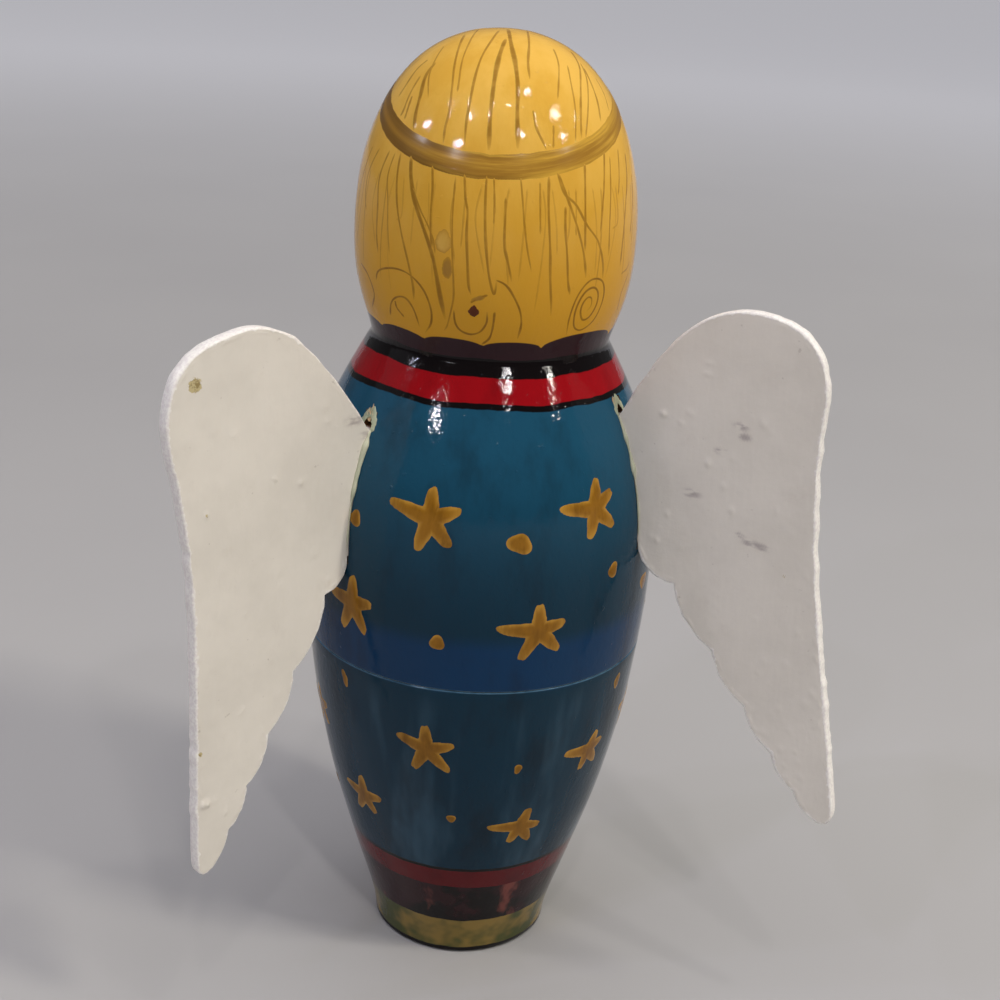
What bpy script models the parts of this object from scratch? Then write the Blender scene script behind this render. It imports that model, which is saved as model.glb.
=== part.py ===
"""A winged nesting doll of turned and painted wood.

Four hollow dolls open at the belly, each holding the next, round one small solid doll.
Two sawn wings are glued into slots in the back of the outer doll's upper half.
The base stands on z = 0, the doll's axis is Z, its back faces +Y and its face -Y.
"""

import math

import bmesh
import bpy

# Outline of the outer doll: radii, and heights above the base. The inner dolls repeat it smaller.
HEIGHT = 0.180
HEAD_RADIUS = 0.02575
HEAD_HEIGHT = 0.1447
NECK_RADIUS = 0.0222
NECK_HEIGHT = 0.1257
BELLY_RADIUS = 0.0339
BELLY_HEIGHT = 0.089
BASE_RADIUS = 0.0179
BASE_BEVEL = 0.0006
SEAM_HEIGHT = 0.0671

# How far each curve of the outline holds its first direction, from 0 to 1 of the rise or run it spans.
CROWN_FULLNESS = 0.52
CROWN_FLATNESS = 0.69
CHEEK_FULLNESS = 0.59
THROAT_FLARE = (0.11, 0.17)
SHOULDER_FULLNESS = 0.41
SHOULDER_SLOPE = (0.62, 0.36)
BODY_FULLNESS = 0.58
FOOT_FLARE = (0.03, 0.13)

# Walls of the hollow dolls, from the outer one inwards.
OUTER_WALL = 0.0032
OUTER_FLOOR = 0.0050
OUTER_LIP = 0.0020
OUTER_SPIGOT_WALL = 0.0018
OUTER_SPIGOT_HEIGHT = 0.0100
SECOND_WALL = 0.0028
SECOND_FLOOR = 0.0040
SECOND_LIP = 0.0017
SECOND_SPIGOT_WALL = 0.0016
SECOND_SPIGOT_HEIGHT = 0.0080
THIRD_WALL = 0.0024
THIRD_FLOOR = 0.0032
THIRD_LIP = 0.0014
THIRD_SPIGOT_WALL = 0.0014
THIRD_SPIGOT_HEIGHT = 0.0060
FOURTH_WALL = 0.0020
FOURTH_FLOOR = 0.0026
FOURTH_LIP = 0.0012
FOURTH_SPIGOT_WALL = 0.0012
FOURTH_SPIGOT_HEIGHT = 0.0045

# Fits.
FIT_GAP = 0.0003
NEST_CLEARANCE = 0.0005
HEADROOM = 0.0020
BORE_END_ROUNDING = 0.4

# Wings, sawn from one pattern. Its places are (outwards, upwards) from the start of its leading edge.
WING_THICKNESS = 0.0030
WING_SPREAD = math.radians(54)
LEFT_ROOT_HEIGHT = 0.1119
LEFT_ROOT_REACH = 0.0015
LEFT_CANT = math.radians(-7.6)
LEFT_SAWN_LARGER = 1.036
LEFT_FIRST_NOTCH = (0.0116, -0.0295)
RIGHT_ROOT_HEIGHT = 0.1150
RIGHT_ROOT_REACH = 0.0004
RIGHT_CANT = math.radians(3.6)
RIGHT_SAWN_LARGER = 1.0
RIGHT_FIRST_NOTCH = (0.0116, -0.0309)
ROOT_LENGTH = 0.0230
SLOT_DEPTH = 0.0024
SLOT_OVERRUN = 0.0030
WING_TOP = (0.0230, 0.0215)
WING_SHOULDER = (0.0380, 0.0065)
WING_TIP = (0.0440, -0.0690)
WING_TIP_RADIUS = 0.0035
WING_TOP_FULLNESS = (0.6, 0.5)
WING_TIP_FULLNESS = (0.3, 1.6)
LAST_FEATHER_FULLNESS = (0.6, 1.7)
NOTCH_COUNT = 5
FEATHER_LENGTH = 0.0142
FEATHER_SHRINK = 0.83
FEATHER_SLOPE = math.radians(-55.4)
FEATHER_BULGE = 0.12
LEADING_EDGE_RISE = math.radians(61)
OUTER_EDGE_LEAN = math.radians(-97)
OUTER_EDGE_SWEEP = math.radians(-84)
GLUE_RADIUS = 0.0007

# Facets.
OUTER_SEGMENTS = 44
SECOND_SEGMENTS = 36
THIRD_SEGMENTS = 30
FOURTH_SEGMENTS = 24
SMALLEST_SEGMENTS = 20
CROWN_STEPS = 7
CHEEK_STEPS = 4
SHOULDER_STEPS = 6
BODY_STEPS = 8
BORE_END_STEPS = 3
WING_CURVE_STEPS = 7
FEATHER_STEPS = 4
GLUE_STEPS = 2
SHARP_EDGE = math.radians(35)
SAME_POINT = 1e-7
FITTING_ROUNDS = 40

# Paints.
BLUE_ROBE = (0.030, 0.085, 0.135)
RED_ROBE = (0.270, 0.016, 0.020)
GREEN_ROBE = (0.045, 0.120, 0.060)
OCHRE_ROBE = (0.400, 0.200, 0.030)
HEAD_COLOUR = (0.560, 0.340, 0.085)
WING_COLOUR = (0.600, 0.560, 0.480)
GLUE_COLOUR = (0.520, 0.500, 0.380)
VARNISH_ROUGHNESS = 0.3
WING_ROUGHNESS = 0.6
GLUE_ROUGHNESS = 0.4

# name, wall, floor, lip, spigot wall, spigot height, segments, robe colour
HOLLOW_DOLLS = (
    ("outer", OUTER_WALL, OUTER_FLOOR, OUTER_LIP, OUTER_SPIGOT_WALL, OUTER_SPIGOT_HEIGHT,
     OUTER_SEGMENTS, BLUE_ROBE),
    ("second", SECOND_WALL, SECOND_FLOOR, SECOND_LIP, SECOND_SPIGOT_WALL, SECOND_SPIGOT_HEIGHT,
     SECOND_SEGMENTS, RED_ROBE),
    ("third", THIRD_WALL, THIRD_FLOOR, THIRD_LIP, THIRD_SPIGOT_WALL, THIRD_SPIGOT_HEIGHT,
     THIRD_SEGMENTS, GREEN_ROBE),
    ("fourth", FOURTH_WALL, FOURTH_FLOOR, FOURTH_LIP, FOURTH_SPIGOT_WALL, FOURTH_SPIGOT_HEIGHT,
     FOURTH_SEGMENTS, OCHRE_ROBE),
)


def bezier(start, first, second, end, steps):
    """Points along a cubic curve, without its last one."""
    points = []
    for i in range(steps):
        t = i / steps
        a, b, c, d = (1 - t) ** 3, 3 * t * (1 - t) ** 2, 3 * t * t * (1 - t), t ** 3
        points.append(tuple(a * p + b * q + c * r + d * s for p, q, r, s in zip(start, first, second, end)))
    return points


def doll_outline():
    """Half outline of the outer doll as (radius, height), from the crown down to the centre of the base."""
    crown, head = (0.0, HEIGHT), (HEAD_RADIUS, HEAD_HEIGHT)
    neck, belly = (NECK_RADIUS, NECK_HEIGHT), (BELLY_RADIUS, BELLY_HEIGHT)
    foot = (BASE_RADIUS, BASE_BEVEL)
    crown_rise, cheek_rise = HEIGHT - HEAD_HEIGHT, HEAD_HEIGHT - NECK_HEIGHT
    shoulder_rise, body_rise = NECK_HEIGHT - BELLY_HEIGHT, BELLY_HEIGHT - BASE_BEVEL
    throat = (NECK_RADIUS + THROAT_FLARE[0] * (HEAD_RADIUS - NECK_RADIUS),
              NECK_HEIGHT + THROAT_FLARE[1] * cheek_rise)
    collar = (NECK_RADIUS + SHOULDER_SLOPE[0] * (BELLY_RADIUS - NECK_RADIUS),
              NECK_HEIGHT - SHOULDER_SLOPE[1] * shoulder_rise)
    ankle = (BASE_RADIUS + FOOT_FLARE[0] * (BELLY_RADIUS - BASE_RADIUS),
             BASE_BEVEL + FOOT_FLARE[1] * body_rise)
    points = bezier(crown, (CROWN_FLATNESS * HEAD_RADIUS, HEIGHT),
                    (HEAD_RADIUS, HEAD_HEIGHT + CROWN_FULLNESS * crown_rise), head, CROWN_STEPS)
    points += bezier(head, (HEAD_RADIUS, HEAD_HEIGHT - CHEEK_FULLNESS * cheek_rise),
                     throat, neck, CHEEK_STEPS)
    points += bezier(neck, collar, (BELLY_RADIUS, BELLY_HEIGHT + SHOULDER_FULLNESS * shoulder_rise),
                     belly, SHOULDER_STEPS)
    points += bezier(belly, (BELLY_RADIUS, BELLY_HEIGHT - BODY_FULLNESS * body_rise), ankle, foot, BODY_STEPS)
    return points + [foot, (BASE_RADIUS - BASE_BEVEL, 0.0)]


def radius_at(outline, height):
    """Radius of an outline that runs downwards, at one height."""
    for (r_above, z_above), (r_below, z_below) in zip(outline, outline[1:]):
        if z_below <= height <= z_above:
            share = (height - z_below) / (z_above - z_below)
            return r_below + share * (r_above - r_below)
    return 0.0


class HollowDoll:
    """Sizes of one hollow doll in its own frame, worked out from its outline and its walls."""

    def __init__(self, outline, seam, wall, floor, lip, spigot_wall, spigot_height):
        self.outline, self.seam, self.wall, self.floor = outline, seam, wall, floor
        self.rebate_radius = radius_at(outline, seam) - lip
        self.spigot_radius = self.rebate_radius - FIT_GAP
        self.spigot_bore = self.spigot_radius - spigot_wall
        self.spigot_top = seam + spigot_height
        self.rim = seam + FIT_GAP
        self.stand = floor + FIT_GAP
        self.bore_end = None

    def hollow_radius(self, height):
        """Radius of the hollow, which never widens upwards from the seam, so the next doll can leave."""
        walls = [radius_at(self.outline, height)]
        if height > self.seam:
            walls += [r for r, z in self.outline if self.seam <= z <= height]
        return min(self.spigot_bore, min(walls) - self.wall)

    def holds(self, scale, pattern):
        """Whether a doll of this scale stands in the hollow clear of its walls and its end."""
        if self.stand + scale * HEIGHT + HEADROOM > self.outline[0][1] - self.wall:
            return False
        inner = [(scale * r, self.stand + scale * z) for r, z in pattern]
        heights = [z for _, z in inner[1:] + self.outline if self.stand <= z <= inner[0][1]]
        return all(radius_at(inner, z) + NEST_CLEARANCE <= self.hollow_radius(z) for z in heights)

    def next_scale(self, pattern):
        """The largest doll that the hollow holds, as a scale of the pattern."""
        low, high = 0.0, 1.0
        for _ in range(FITTING_ROUNDS):
            middle = (low + high) / 2
            if self.holds(middle, pattern):
                low = middle
            else:
                high = middle
        self.bore_end = self.stand + low * HEIGHT + HEADROOM
        return low

    def upper_profile(self):
        """Section of the upper half: down the outside to the rim, in, and up the hollow to the axis."""
        outside = [(r, z) for r, z in self.outline if z > self.rim]
        outside.append((radius_at(self.outline, self.rim), self.rim))
        rebate_end = self.spigot_top + FIT_GAP
        hollow = [(self.rebate_radius, self.rim), (self.rebate_radius, rebate_end)]
        heights = [z for _, z in reversed(self.outline) if rebate_end < z]
        end_radius = self.hollow_radius(self.bore_end)
        rounding = BORE_END_ROUNDING * end_radius
        bore = [(self.hollow_radius(z), z) for z in [rebate_end] + heights if z < self.bore_end - rounding]
        for i in range(BORE_END_STEPS + 1):
            turn = math.pi / 2 * i / BORE_END_STEPS
            bore.append((end_radius * math.cos(turn), self.bore_end - rounding * (1 - math.sin(turn))))
        bore[-1] = (0.0, self.bore_end)
        return outside + hollow + without_straight_points(bore)

    def lower_profile(self):
        """Section of the lower half: up the hollow from the axis, over the spigot and down the outside."""
        heights = [z for _, z in reversed(self.outline) if self.floor < z < self.spigot_top]
        bore = [(self.hollow_radius(z), z) for z in [self.floor] + heights + [self.spigot_top]]
        spigot = [(self.spigot_radius, self.spigot_top), (self.spigot_radius, self.seam)]
        outside = [(radius_at(self.outline, self.seam), self.seam)]
        outside += [(r, z) for r, z in self.outline if z < self.seam]
        return [(0.0, self.floor)] + without_straight_points(bore) + spigot + outside + [(0.0, 0.0)]


def without_straight_points(points):
    """Drops the points inside a straight upright run."""
    kept = [points[0]]
    for before, point, after in zip(points, points[1:], points[2:]):
        if not (math.isclose(before[0], point[0]) and math.isclose(point[0], after[0])):
            kept.append(point)
    return kept + [points[-1]]


def paint(name, colour, roughness):
    material = bpy.data.materials.new(name)
    material.use_nodes = True
    shader = material.node_tree.nodes["Principled BSDF"]
    shader.inputs["Base Color"].default_value = (*colour, 1.0)
    shader.inputs["Roughness"].default_value = roughness
    shader.inputs["Metallic"].default_value = 0.0
    return material


def add_object(name, data, material, parent=None):
    piece = bpy.data.objects.new(name, data)
    piece.data.materials.append(material)
    piece.parent = parent
    bpy.context.collection.objects.link(piece)
    return piece


def turned_piece(name, profile, segments, material, stand):
    """A profile of (radius, height), with both ends on the axis, spun round Z."""
    mesh = bpy.data.meshes.new(name)
    bm = bmesh.new()
    verts = [bm.verts.new((r, 0.0, z)) for r, z in profile]
    edges = [bm.edges.new(pair) for pair in zip(verts, verts[1:])]
    bmesh.ops.spin(bm, geom=verts + edges, axis=(0, 0, 1), cent=(0, 0, 0), steps=segments,
                   angle=2 * math.pi, use_merge=True)
    bmesh.ops.remove_doubles(bm, verts=bm.verts, dist=SAME_POINT)
    bmesh.ops.recalc_face_normals(bm, faces=bm.faces)
    bm.to_mesh(mesh)
    bm.free()
    mesh.shade_smooth()
    mesh.set_sharp_from_angle(angle=SHARP_EDGE)
    piece = add_object(name, mesh, material)
    piece.location.z = stand
    return piece


def board(name, outline, thickness, material, turn, parent):
    """A flat outline of (outwards, upwards) in an upright plane on the axis, thickened to both sides."""
    mesh = bpy.data.meshes.new(name)
    bm = bmesh.new()
    face = bm.faces.new([bm.verts.new((s, -thickness / 2, z)) for s, z in outline])
    raised = bmesh.ops.extrude_face_region(bm, geom=[face])["geom"]
    verts = [item for item in raised if isinstance(item, bmesh.types.BMVert)]
    bmesh.ops.translate(bm, verts=verts, vec=(0, thickness, 0))
    bmesh.ops.recalc_face_normals(bm, faces=bm.faces)
    bm.to_mesh(mesh)
    bm.free()
    piece = add_object(name, mesh, material, parent)
    piece.rotation_euler.z = turn
    return piece


def root_heights(outline, low, high):
    """Heights from low to high, with the outline's own corners between them."""
    return [low] + [z for _, z in reversed(outline) if low < z < high] + [high]


def bulged_chord(start, end, bulge, steps):
    """Points on an arc from start to end, without the last, bulging by a share of the chord."""
    across = (end[0] - start[0], end[1] - start[1])
    half_turn = 2 * math.atan(2 * bulge)
    points = []
    for i in range(steps):
        angle = half_turn * (2 * i / steps - 1)
        along = 0.5 + math.sin(angle) / (2 * math.sin(half_turn))
        out = (math.cos(angle) - math.cos(half_turn)) / (2 * math.sin(half_turn))
        points.append((start[0] + along * across[0] + out * across[1],
                       start[1] + along * across[1] - out * across[0]))
    return points


def wing_pattern(first_notch, foot):
    """The wing's free edge from the start of its leading edge round to its foot, before it is canted."""
    reach = math.dist((0, 0), WING_TOP) / 3
    start_aim = (reach * math.cos(LEADING_EDGE_RISE), reach * math.sin(LEADING_EDGE_RISE))
    points = bezier((0, 0), start_aim, (WING_TOP[0] - reach, WING_TOP[1]), WING_TOP, WING_CURVE_STEPS)
    run = WING_SHOULDER[0] - WING_TOP[0]
    drop = WING_TOP[1] - WING_SHOULDER[1]
    points += bezier(WING_TOP, (WING_TOP[0] + WING_TOP_FULLNESS[0] * run, WING_TOP[1]),
                     (WING_SHOULDER[0], WING_SHOULDER[1] + WING_TOP_FULLNESS[1] * drop),
                     WING_SHOULDER, WING_CURVE_STEPS)
    reach = math.dist(WING_SHOULDER, WING_TIP) / 3
    points += bezier(WING_SHOULDER,
                     (WING_SHOULDER[0] + reach * math.cos(OUTER_EDGE_LEAN),
                      WING_SHOULDER[1] + reach * math.sin(OUTER_EDGE_LEAN)),
                     (WING_TIP[0] - reach * math.cos(OUTER_EDGE_SWEEP),
                      WING_TIP[1] - reach * math.sin(OUTER_EDGE_SWEEP)), WING_TIP, WING_CURVE_STEPS)
    notches = [first_notch]
    length = FEATHER_LENGTH
    for _ in range(NOTCH_COUNT - 1):
        s, z = notches[-1]
        notches.append((s + length * math.cos(FEATHER_SLOPE), z + length * math.sin(FEATHER_SLOPE)))
        length *= FEATHER_SHRINK
    last = notches[-1]
    points += bezier(WING_TIP, (WING_TIP[0] + WING_TIP_FULLNESS[0] * WING_TIP_RADIUS,
                                WING_TIP[1] - WING_TIP_FULLNESS[1] * WING_TIP_RADIUS),
                     (last[0] + LAST_FEATHER_FULLNESS[0] * WING_TIP_RADIUS,
                      last[1] - LAST_FEATHER_FULLNESS[1] * WING_TIP_RADIUS), last, WING_CURVE_STEPS)
    for start, end in zip(reversed(notches), [*reversed(notches[:-1]), foot]):
        points += bulged_chord(start, end, -FEATHER_BULGE, FEATHER_STEPS)
    return points + [foot]


def canted(point, cant):
    s, z = point
    return (s * math.cos(cant) - z * math.sin(cant), s * math.sin(cant) + z * math.cos(cant))


def add_wing(side, root_height, root_reach, cant, size, first_notch, turn, outline, shell, materials):
    """One wing with its tongue in a slot of the upper half, and a bead of glue down each side of the root."""
    low = root_height - ROOT_LENGTH
    heights = root_heights(outline, low, root_height)
    corner = (radius_at(outline, root_height), root_height)
    foot = (radius_at(outline, low) + FIT_GAP, low)
    start = (corner[0] + root_reach * math.cos(LEADING_EDGE_RISE + cant),
             corner[1] + root_reach * math.sin(LEADING_EDGE_RISE + cant))
    flat_foot = canted(((foot[0] - start[0]) / size, (foot[1] - start[1]) / size), -cant)
    edge = [canted((size * s, size * z), cant) for s, z in wing_pattern(first_notch, flat_foot)]
    edge = [corner] + [(start[0] + s, start[1] + z) for s, z in edge]
    tongue = [(radius_at(outline, z) - SLOT_DEPTH + FIT_GAP, z) for z in heights]
    board(f"{side}_wing", edge + tongue, WING_THICKNESS, materials["wing"], turn, shell)

    slot_heights = root_heights(outline, low - FIT_GAP, root_height + SLOT_OVERRUN)
    slot = [(radius_at(outline, z) - SLOT_DEPTH, z) for z in slot_heights]
    outside = max(r for r, _ in outline) + SLOT_DEPTH
    slot += [(outside, slot_heights[-1]), (outside, slot_heights[0])]
    cutter = board(f"{side}_slot", slot, WING_THICKNESS + 2 * FIT_GAP, materials["wing"], turn, shell)
    cutter.hide_render = True
    cutter.display_type = "WIRE"
    cut = shell.modifiers.new(f"{side}_slot", "BOOLEAN")
    cut.object = cutter
    cut.solver = "EXACT"

    stand_off = FIT_GAP + GLUE_RADIUS
    for face, sign in (("back", 1 if side == "left" else -1), ("front", -1 if side == "left" else 1)):
        curve = bpy.data.curves.new(f"{side}_wing_glue_{face}", "CURVE")
        curve.dimensions = "3D"
        curve.bevel_depth = GLUE_RADIUS
        curve.bevel_resolution = GLUE_STEPS
        curve.use_fill_caps = True
        spline = curve.splines.new("POLY")
        spline.points.add(len(heights) - 1)
        for point, z in zip(spline.points, heights):
            slope = (radius_at(outline, z + FIT_GAP) - radius_at(outline, z - FIT_GAP)) / (2 * FIT_GAP)
            s = radius_at(outline, z) + stand_off * math.hypot(1, slope)
            point.co = (s, sign * (WING_THICKNESS / 2 + stand_off), z, 1.0)
        bead = add_object(f"{side}_wing_glue_{face}", curve, materials["glue"], shell)
        bead.rotation_euler.z = turn


def clear_scene():
    for item in list(bpy.data.objects):
        bpy.data.objects.remove(item, do_unlink=True)


def build():
    clear_scene()
    pattern = doll_outline()
    scale, stand = 1.0, 0.0
    for name, wall, floor, lip, spigot_wall, spigot_height, segments, colour in HOLLOW_DOLLS:
        outline = [(scale * r, scale * z) for r, z in pattern]
        doll = HollowDoll(outline, scale * SEAM_HEIGHT, wall, floor, lip, spigot_wall, spigot_height)
        next_scale = doll.next_scale(pattern)
        robe = paint(f"{name}_robe", colour, VARNISH_ROUGHNESS)
        head = paint(f"{name}_head", HEAD_COLOUR, VARNISH_ROUGHNESS)
        turned_piece(f"{name}_lower_half", doll.lower_profile(), segments, robe, stand)
        upper = turned_piece(f"{name}_upper_half", doll.upper_profile(), segments, head, stand)
        if name == "outer":
            materials = {"wing": paint("wing_paint", WING_COLOUR, WING_ROUGHNESS),
                         "glue": paint("wing_glue", GLUE_COLOUR, GLUE_ROUGHNESS)}
            add_wing("left", LEFT_ROOT_HEIGHT, LEFT_ROOT_REACH, LEFT_CANT, LEFT_SAWN_LARGER,
                     LEFT_FIRST_NOTCH, math.pi / 2 - WING_SPREAD, outline, upper, materials)
            add_wing("right", RIGHT_ROOT_HEIGHT, RIGHT_ROOT_REACH, RIGHT_CANT, RIGHT_SAWN_LARGER,
                     RIGHT_FIRST_NOTCH, math.pi / 2 + WING_SPREAD, outline, upper, materials)
        print(f"{name} doll: {1000 * scale * HEIGHT:.1f} mm tall, stands at {1000 * stand:.1f} mm,",
              f"seam at {1000 * (stand + doll.seam):.2f} mm,",
              f"hollow ends at {1000 * (stand + doll.bore_end):.1f} mm")
        stand += doll.stand
        scale = next_scale
    smallest = [(scale * r, scale * z) for r, z in pattern] + [(0.0, 0.0)]
    robe = paint("smallest_robe", BLUE_ROBE, VARNISH_ROUGHNESS)
    turned_piece("smallest_doll", smallest, SMALLEST_SEGMENTS, robe, stand)
    print(f"smallest doll: {1000 * scale * HEIGHT:.1f} mm tall, stands at {1000 * stand:.1f} mm")


build()
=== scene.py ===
import math

import bmesh
import bpy
import numpy as np
from mathutils import Matrix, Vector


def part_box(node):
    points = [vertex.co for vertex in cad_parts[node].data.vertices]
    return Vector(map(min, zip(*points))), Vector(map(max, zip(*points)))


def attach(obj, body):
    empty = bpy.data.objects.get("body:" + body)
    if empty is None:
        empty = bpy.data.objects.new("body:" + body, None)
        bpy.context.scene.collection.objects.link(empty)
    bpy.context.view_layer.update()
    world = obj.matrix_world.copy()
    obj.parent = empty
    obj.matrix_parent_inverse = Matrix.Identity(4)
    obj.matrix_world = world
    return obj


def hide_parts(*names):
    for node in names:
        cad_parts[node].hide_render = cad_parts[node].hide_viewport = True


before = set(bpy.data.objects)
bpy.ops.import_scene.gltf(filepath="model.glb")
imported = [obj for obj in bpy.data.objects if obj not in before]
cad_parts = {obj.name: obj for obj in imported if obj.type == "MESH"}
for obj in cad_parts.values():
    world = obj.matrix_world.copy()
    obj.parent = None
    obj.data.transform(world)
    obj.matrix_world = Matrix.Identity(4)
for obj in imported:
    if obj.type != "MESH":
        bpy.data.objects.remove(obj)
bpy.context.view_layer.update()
print("frame loaded:", len(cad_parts), "nodes")

mm = 0.001
fitGap = 0.3 * mm  # between pieces that touch
weld = 2e-6  # points nearer than this become one


# Curves and meshes

def cubic(start, first, second, end, steps):
    # a cubic curve: four places weighted by (1-t)^3, 3t(1-t)^2, 3t^2(1-t) and t^3
    t = np.linspace(0, 1, steps)[:, None]
    return ((1 - t) ** 3 * np.array(start) + 3 * t * (1 - t) ** 2 * np.array(first)
            + 3 * t ** 2 * (1 - t) * np.array(second) + t ** 3 * np.array(end))


def smoothPath(points, steps):
    # a curve through given points: on each stretch a cubic whose end slopes follow the neighbours
    points = np.asarray(points, float)
    padded = np.concatenate([2 * points[:1] - points[1:2], points, 2 * points[-1:] - points[-2:-1]])
    along = np.linspace(0, len(points) - 1, steps)
    first = np.minimum(along.astype(int), len(points) - 2)
    t = (along - first)[:, None]
    p, q, r, s = (padded[first + k] for k in range(4))
    return 0.5 * (2 * q + (r - p) * t + (2 * p - 5 * q + 4 * r - s) * t ** 2 + (3 * q - p - 3 * r + s) * t ** 3)


def pathLength(points):
    # distance along a line of points, from its start to each point
    steps = np.linalg.norm(np.diff(points, axis=0), axis=1)
    return np.concatenate([[0.0], np.cumsum(steps)])


def gridFaces(rows, columns, wrapColumns):
    # quads between neighbouring rows and columns of a grid of points
    i, j = np.meshgrid(np.arange(rows - 1), np.arange(columns if wrapColumns else columns - 1), indexing="ij")
    k = (j + 1) % columns
    return np.stack([i * columns + j, i * columns + k, (i + 1) * columns + k, (i + 1) * columns + j], -1)


def buildMesh(name, patches):
    # joins grids of points into one mesh; a patch is {grid, wrap, caps, slots, marks}, with slots one material per
    # row and marks the named values of its points
    points, faces, slots, start = [], [], [], 0
    for patch in patches:
        rows, columns = patch["grid"].shape[:2]
        quads = gridFaces(rows, columns, patch.get("wrap", False))
        rowSlots = np.broadcast_to(patch.get("slots", 0), rows - 1)
        points.append(patch["grid"].reshape(-1, 3))
        faces += (quads.reshape(-1, 4) + start).tolist()
        slots.append(np.repeat(rowSlots, quads.shape[1]))
        if patch.get("caps"):
            ring = np.arange(columns) + start
            faces += [ring.tolist(), (ring + (rows - 1) * columns).tolist()]
            slots.append(rowSlots[[0, -1]])
        start += rows * columns
    mesh = bpy.data.meshes.new(name)
    mesh.from_pydata(np.concatenate(points).tolist(), [], faces)
    mesh.polygons.foreach_set("material_index", np.concatenate(slots).astype(np.int32))
    for mark in patches[0].get("marks", {}):
        setAttribute(mesh, mark, np.concatenate([patch["marks"][mark].ravel() for patch in patches]))
    return mesh


def closeMesh(mesh, closed=True):
    # merges the points that meet at poles and turns every face outwards
    work = bmesh.new()
    work.from_mesh(mesh)
    bmesh.ops.remove_doubles(work, verts=work.verts, dist=weld)
    bmesh.ops.dissolve_degenerate(work, edges=work.edges, dist=weld / 2)
    if closed:
        bmesh.ops.recalc_face_normals(work, faces=work.faces)
    work.to_mesh(mesh)
    work.free()
    return mesh


def newObject(name, data):
    made = bpy.data.objects.new(name, data)
    bpy.context.scene.collection.objects.link(made)
    return made


def addPiece(mesh, materials, body, replaced=None, sharp=40):
    for material in materials[len(mesh.materials):]:
        mesh.materials.append(material)
    mesh.shade_smooth()
    mesh.set_sharp_from_angle(angle=math.radians(sharp))
    piece = newObject(mesh.name, mesh)
    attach(piece, body)
    if replaced:
        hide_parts(replaced)


def layPaint(name, patches, materials, body):
    # open patches of paint as one piece
    addPiece(closeMesh(buildMesh(name, patches), False), materials, body)


def pointsOf(mesh):
    flat = np.empty(len(mesh.vertices) * 3)
    mesh.vertices.foreach_get("co", flat)
    return flat.reshape(-1, 3)


def setAttribute(mesh, name, values):
    layer = mesh.attributes.get(name) or mesh.attributes.new(name, "FLOAT", "POINT")
    layer.data.foreach_set("value", np.asarray(values, np.float32))


# Shader helpers

def tint(red, green, blue):
    # a screen colour, 0 to 255, as the linear colour that a shader takes
    screen = np.array([red, green, blue]) / 255
    linear = np.where(screen < 0.04045, screen / 12.92, ((screen + 0.055) / 1.055) ** 2.4)
    return (*linear.tolist(), 1.0)


def place(tree, kind, sockets=None, **settings):
    # one node; a socket given as another node's output is linked, anything else is its value
    made = tree.nodes.new(kind)
    for key, value in settings.items():
        setattr(made, key, value)
    for key, value in (sockets or {}).items():
        if isinstance(value, bpy.types.NodeSocket):
            tree.links.new(value, made.inputs[key])
        else:
            made.inputs[key].default_value = value
    return made


def calc(tree, operation, a, b=0.0, c=0.0):
    return place(tree, "ShaderNodeMath", {0: a, 1: b, 2: c}, operation=operation).outputs[0]


def mixTone(tree, amount, under, over):
    return place(tree, "ShaderNodeMix", {0: amount, 6: under, 7: over}, data_type="RGBA").outputs[2]


def step(tree, value, low, high):
    # 0 under low, 1 over high and smooth between
    return place(tree, "ShaderNodeMapRange", {0: value, 1: low, 2: high},
                 interpolation_type="SMOOTHSTEP").outputs[0]


def partStep(tree, value, low, high, share):
    # the same, but only up to a share
    return calc(tree, "MULTIPLY", step(tree, value, low, high), share)


def noise(tree, vector, scale, detail, rough, stretch=(1, 1, 1)):
    spread = place(tree, "ShaderNodeMapping", {"Vector": vector, "Scale": stretch}).outputs[0]
    return place(tree, "ShaderNodeTexNoise", {"Vector": spread, "Scale": scale, "Detail": detail,
                                              "Roughness": rough}).outputs[0]


def newGroup(name, inputs, outputs):
    tree = bpy.data.node_groups.new(name, "ShaderNodeTree")
    kinds = {"value": "NodeSocketFloat", "colour": "NodeSocketColor", "vector": "NodeSocketVector"}
    for label, kind in inputs:
        tree.interface.new_socket(label, in_out="INPUT", socket_type=kinds[kind])
    for label, kind in outputs:
        tree.interface.new_socket(label, in_out="OUTPUT", socket_type=kinds[kind])
    return tree, tree.nodes.new("NodeGroupInput").outputs, tree.nodes.new("NodeGroupOutput").inputs


def useGroup(tree, group, sockets):
    return place(tree, "ShaderNodeGroup", sockets, node_tree=group).outputs


def newMaterial(name):
    # a material with its shader, and the piece's own coordinates to paint by
    material = bpy.data.materials.new(name)
    material.use_nodes = True
    tree = material.node_tree
    where = place(tree, "ShaderNodeTexCoord").outputs["Object"]
    return material, tree, where, tree.nodes["Principled BSDF"].inputs


def relief(tree, shader, height, depth):
    bump = place(tree, "ShaderNodeBump", {"Height": height, "Distance": depth, "Strength": 1.0})
    tree.links.new(bump.outputs[0], shader["Normal"])


def attribute(tree, name):
    return place(tree, "ShaderNodeAttribute", attribute_name=name).outputs["Fac"]


# The turned outline that all five dolls repeat, in metres

outlineShape = {
    "height": 0.180,
    "head": (0.02575, 0.1447), "neck": (0.0222, 0.1257), "belly": (0.0339, 0.089), "foot": (0.0179, 0.0006),
    "crownFlat": 0.69, "crownFull": 0.52, "cheekFull": 0.59, "throat": (0.11, 0.17),
    "collar": (0.62, 0.36), "shoulderFull": 0.41, "bodyFull": 0.58, "ankle": (0.03, 0.13),
    "steps": 48,
}


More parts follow.
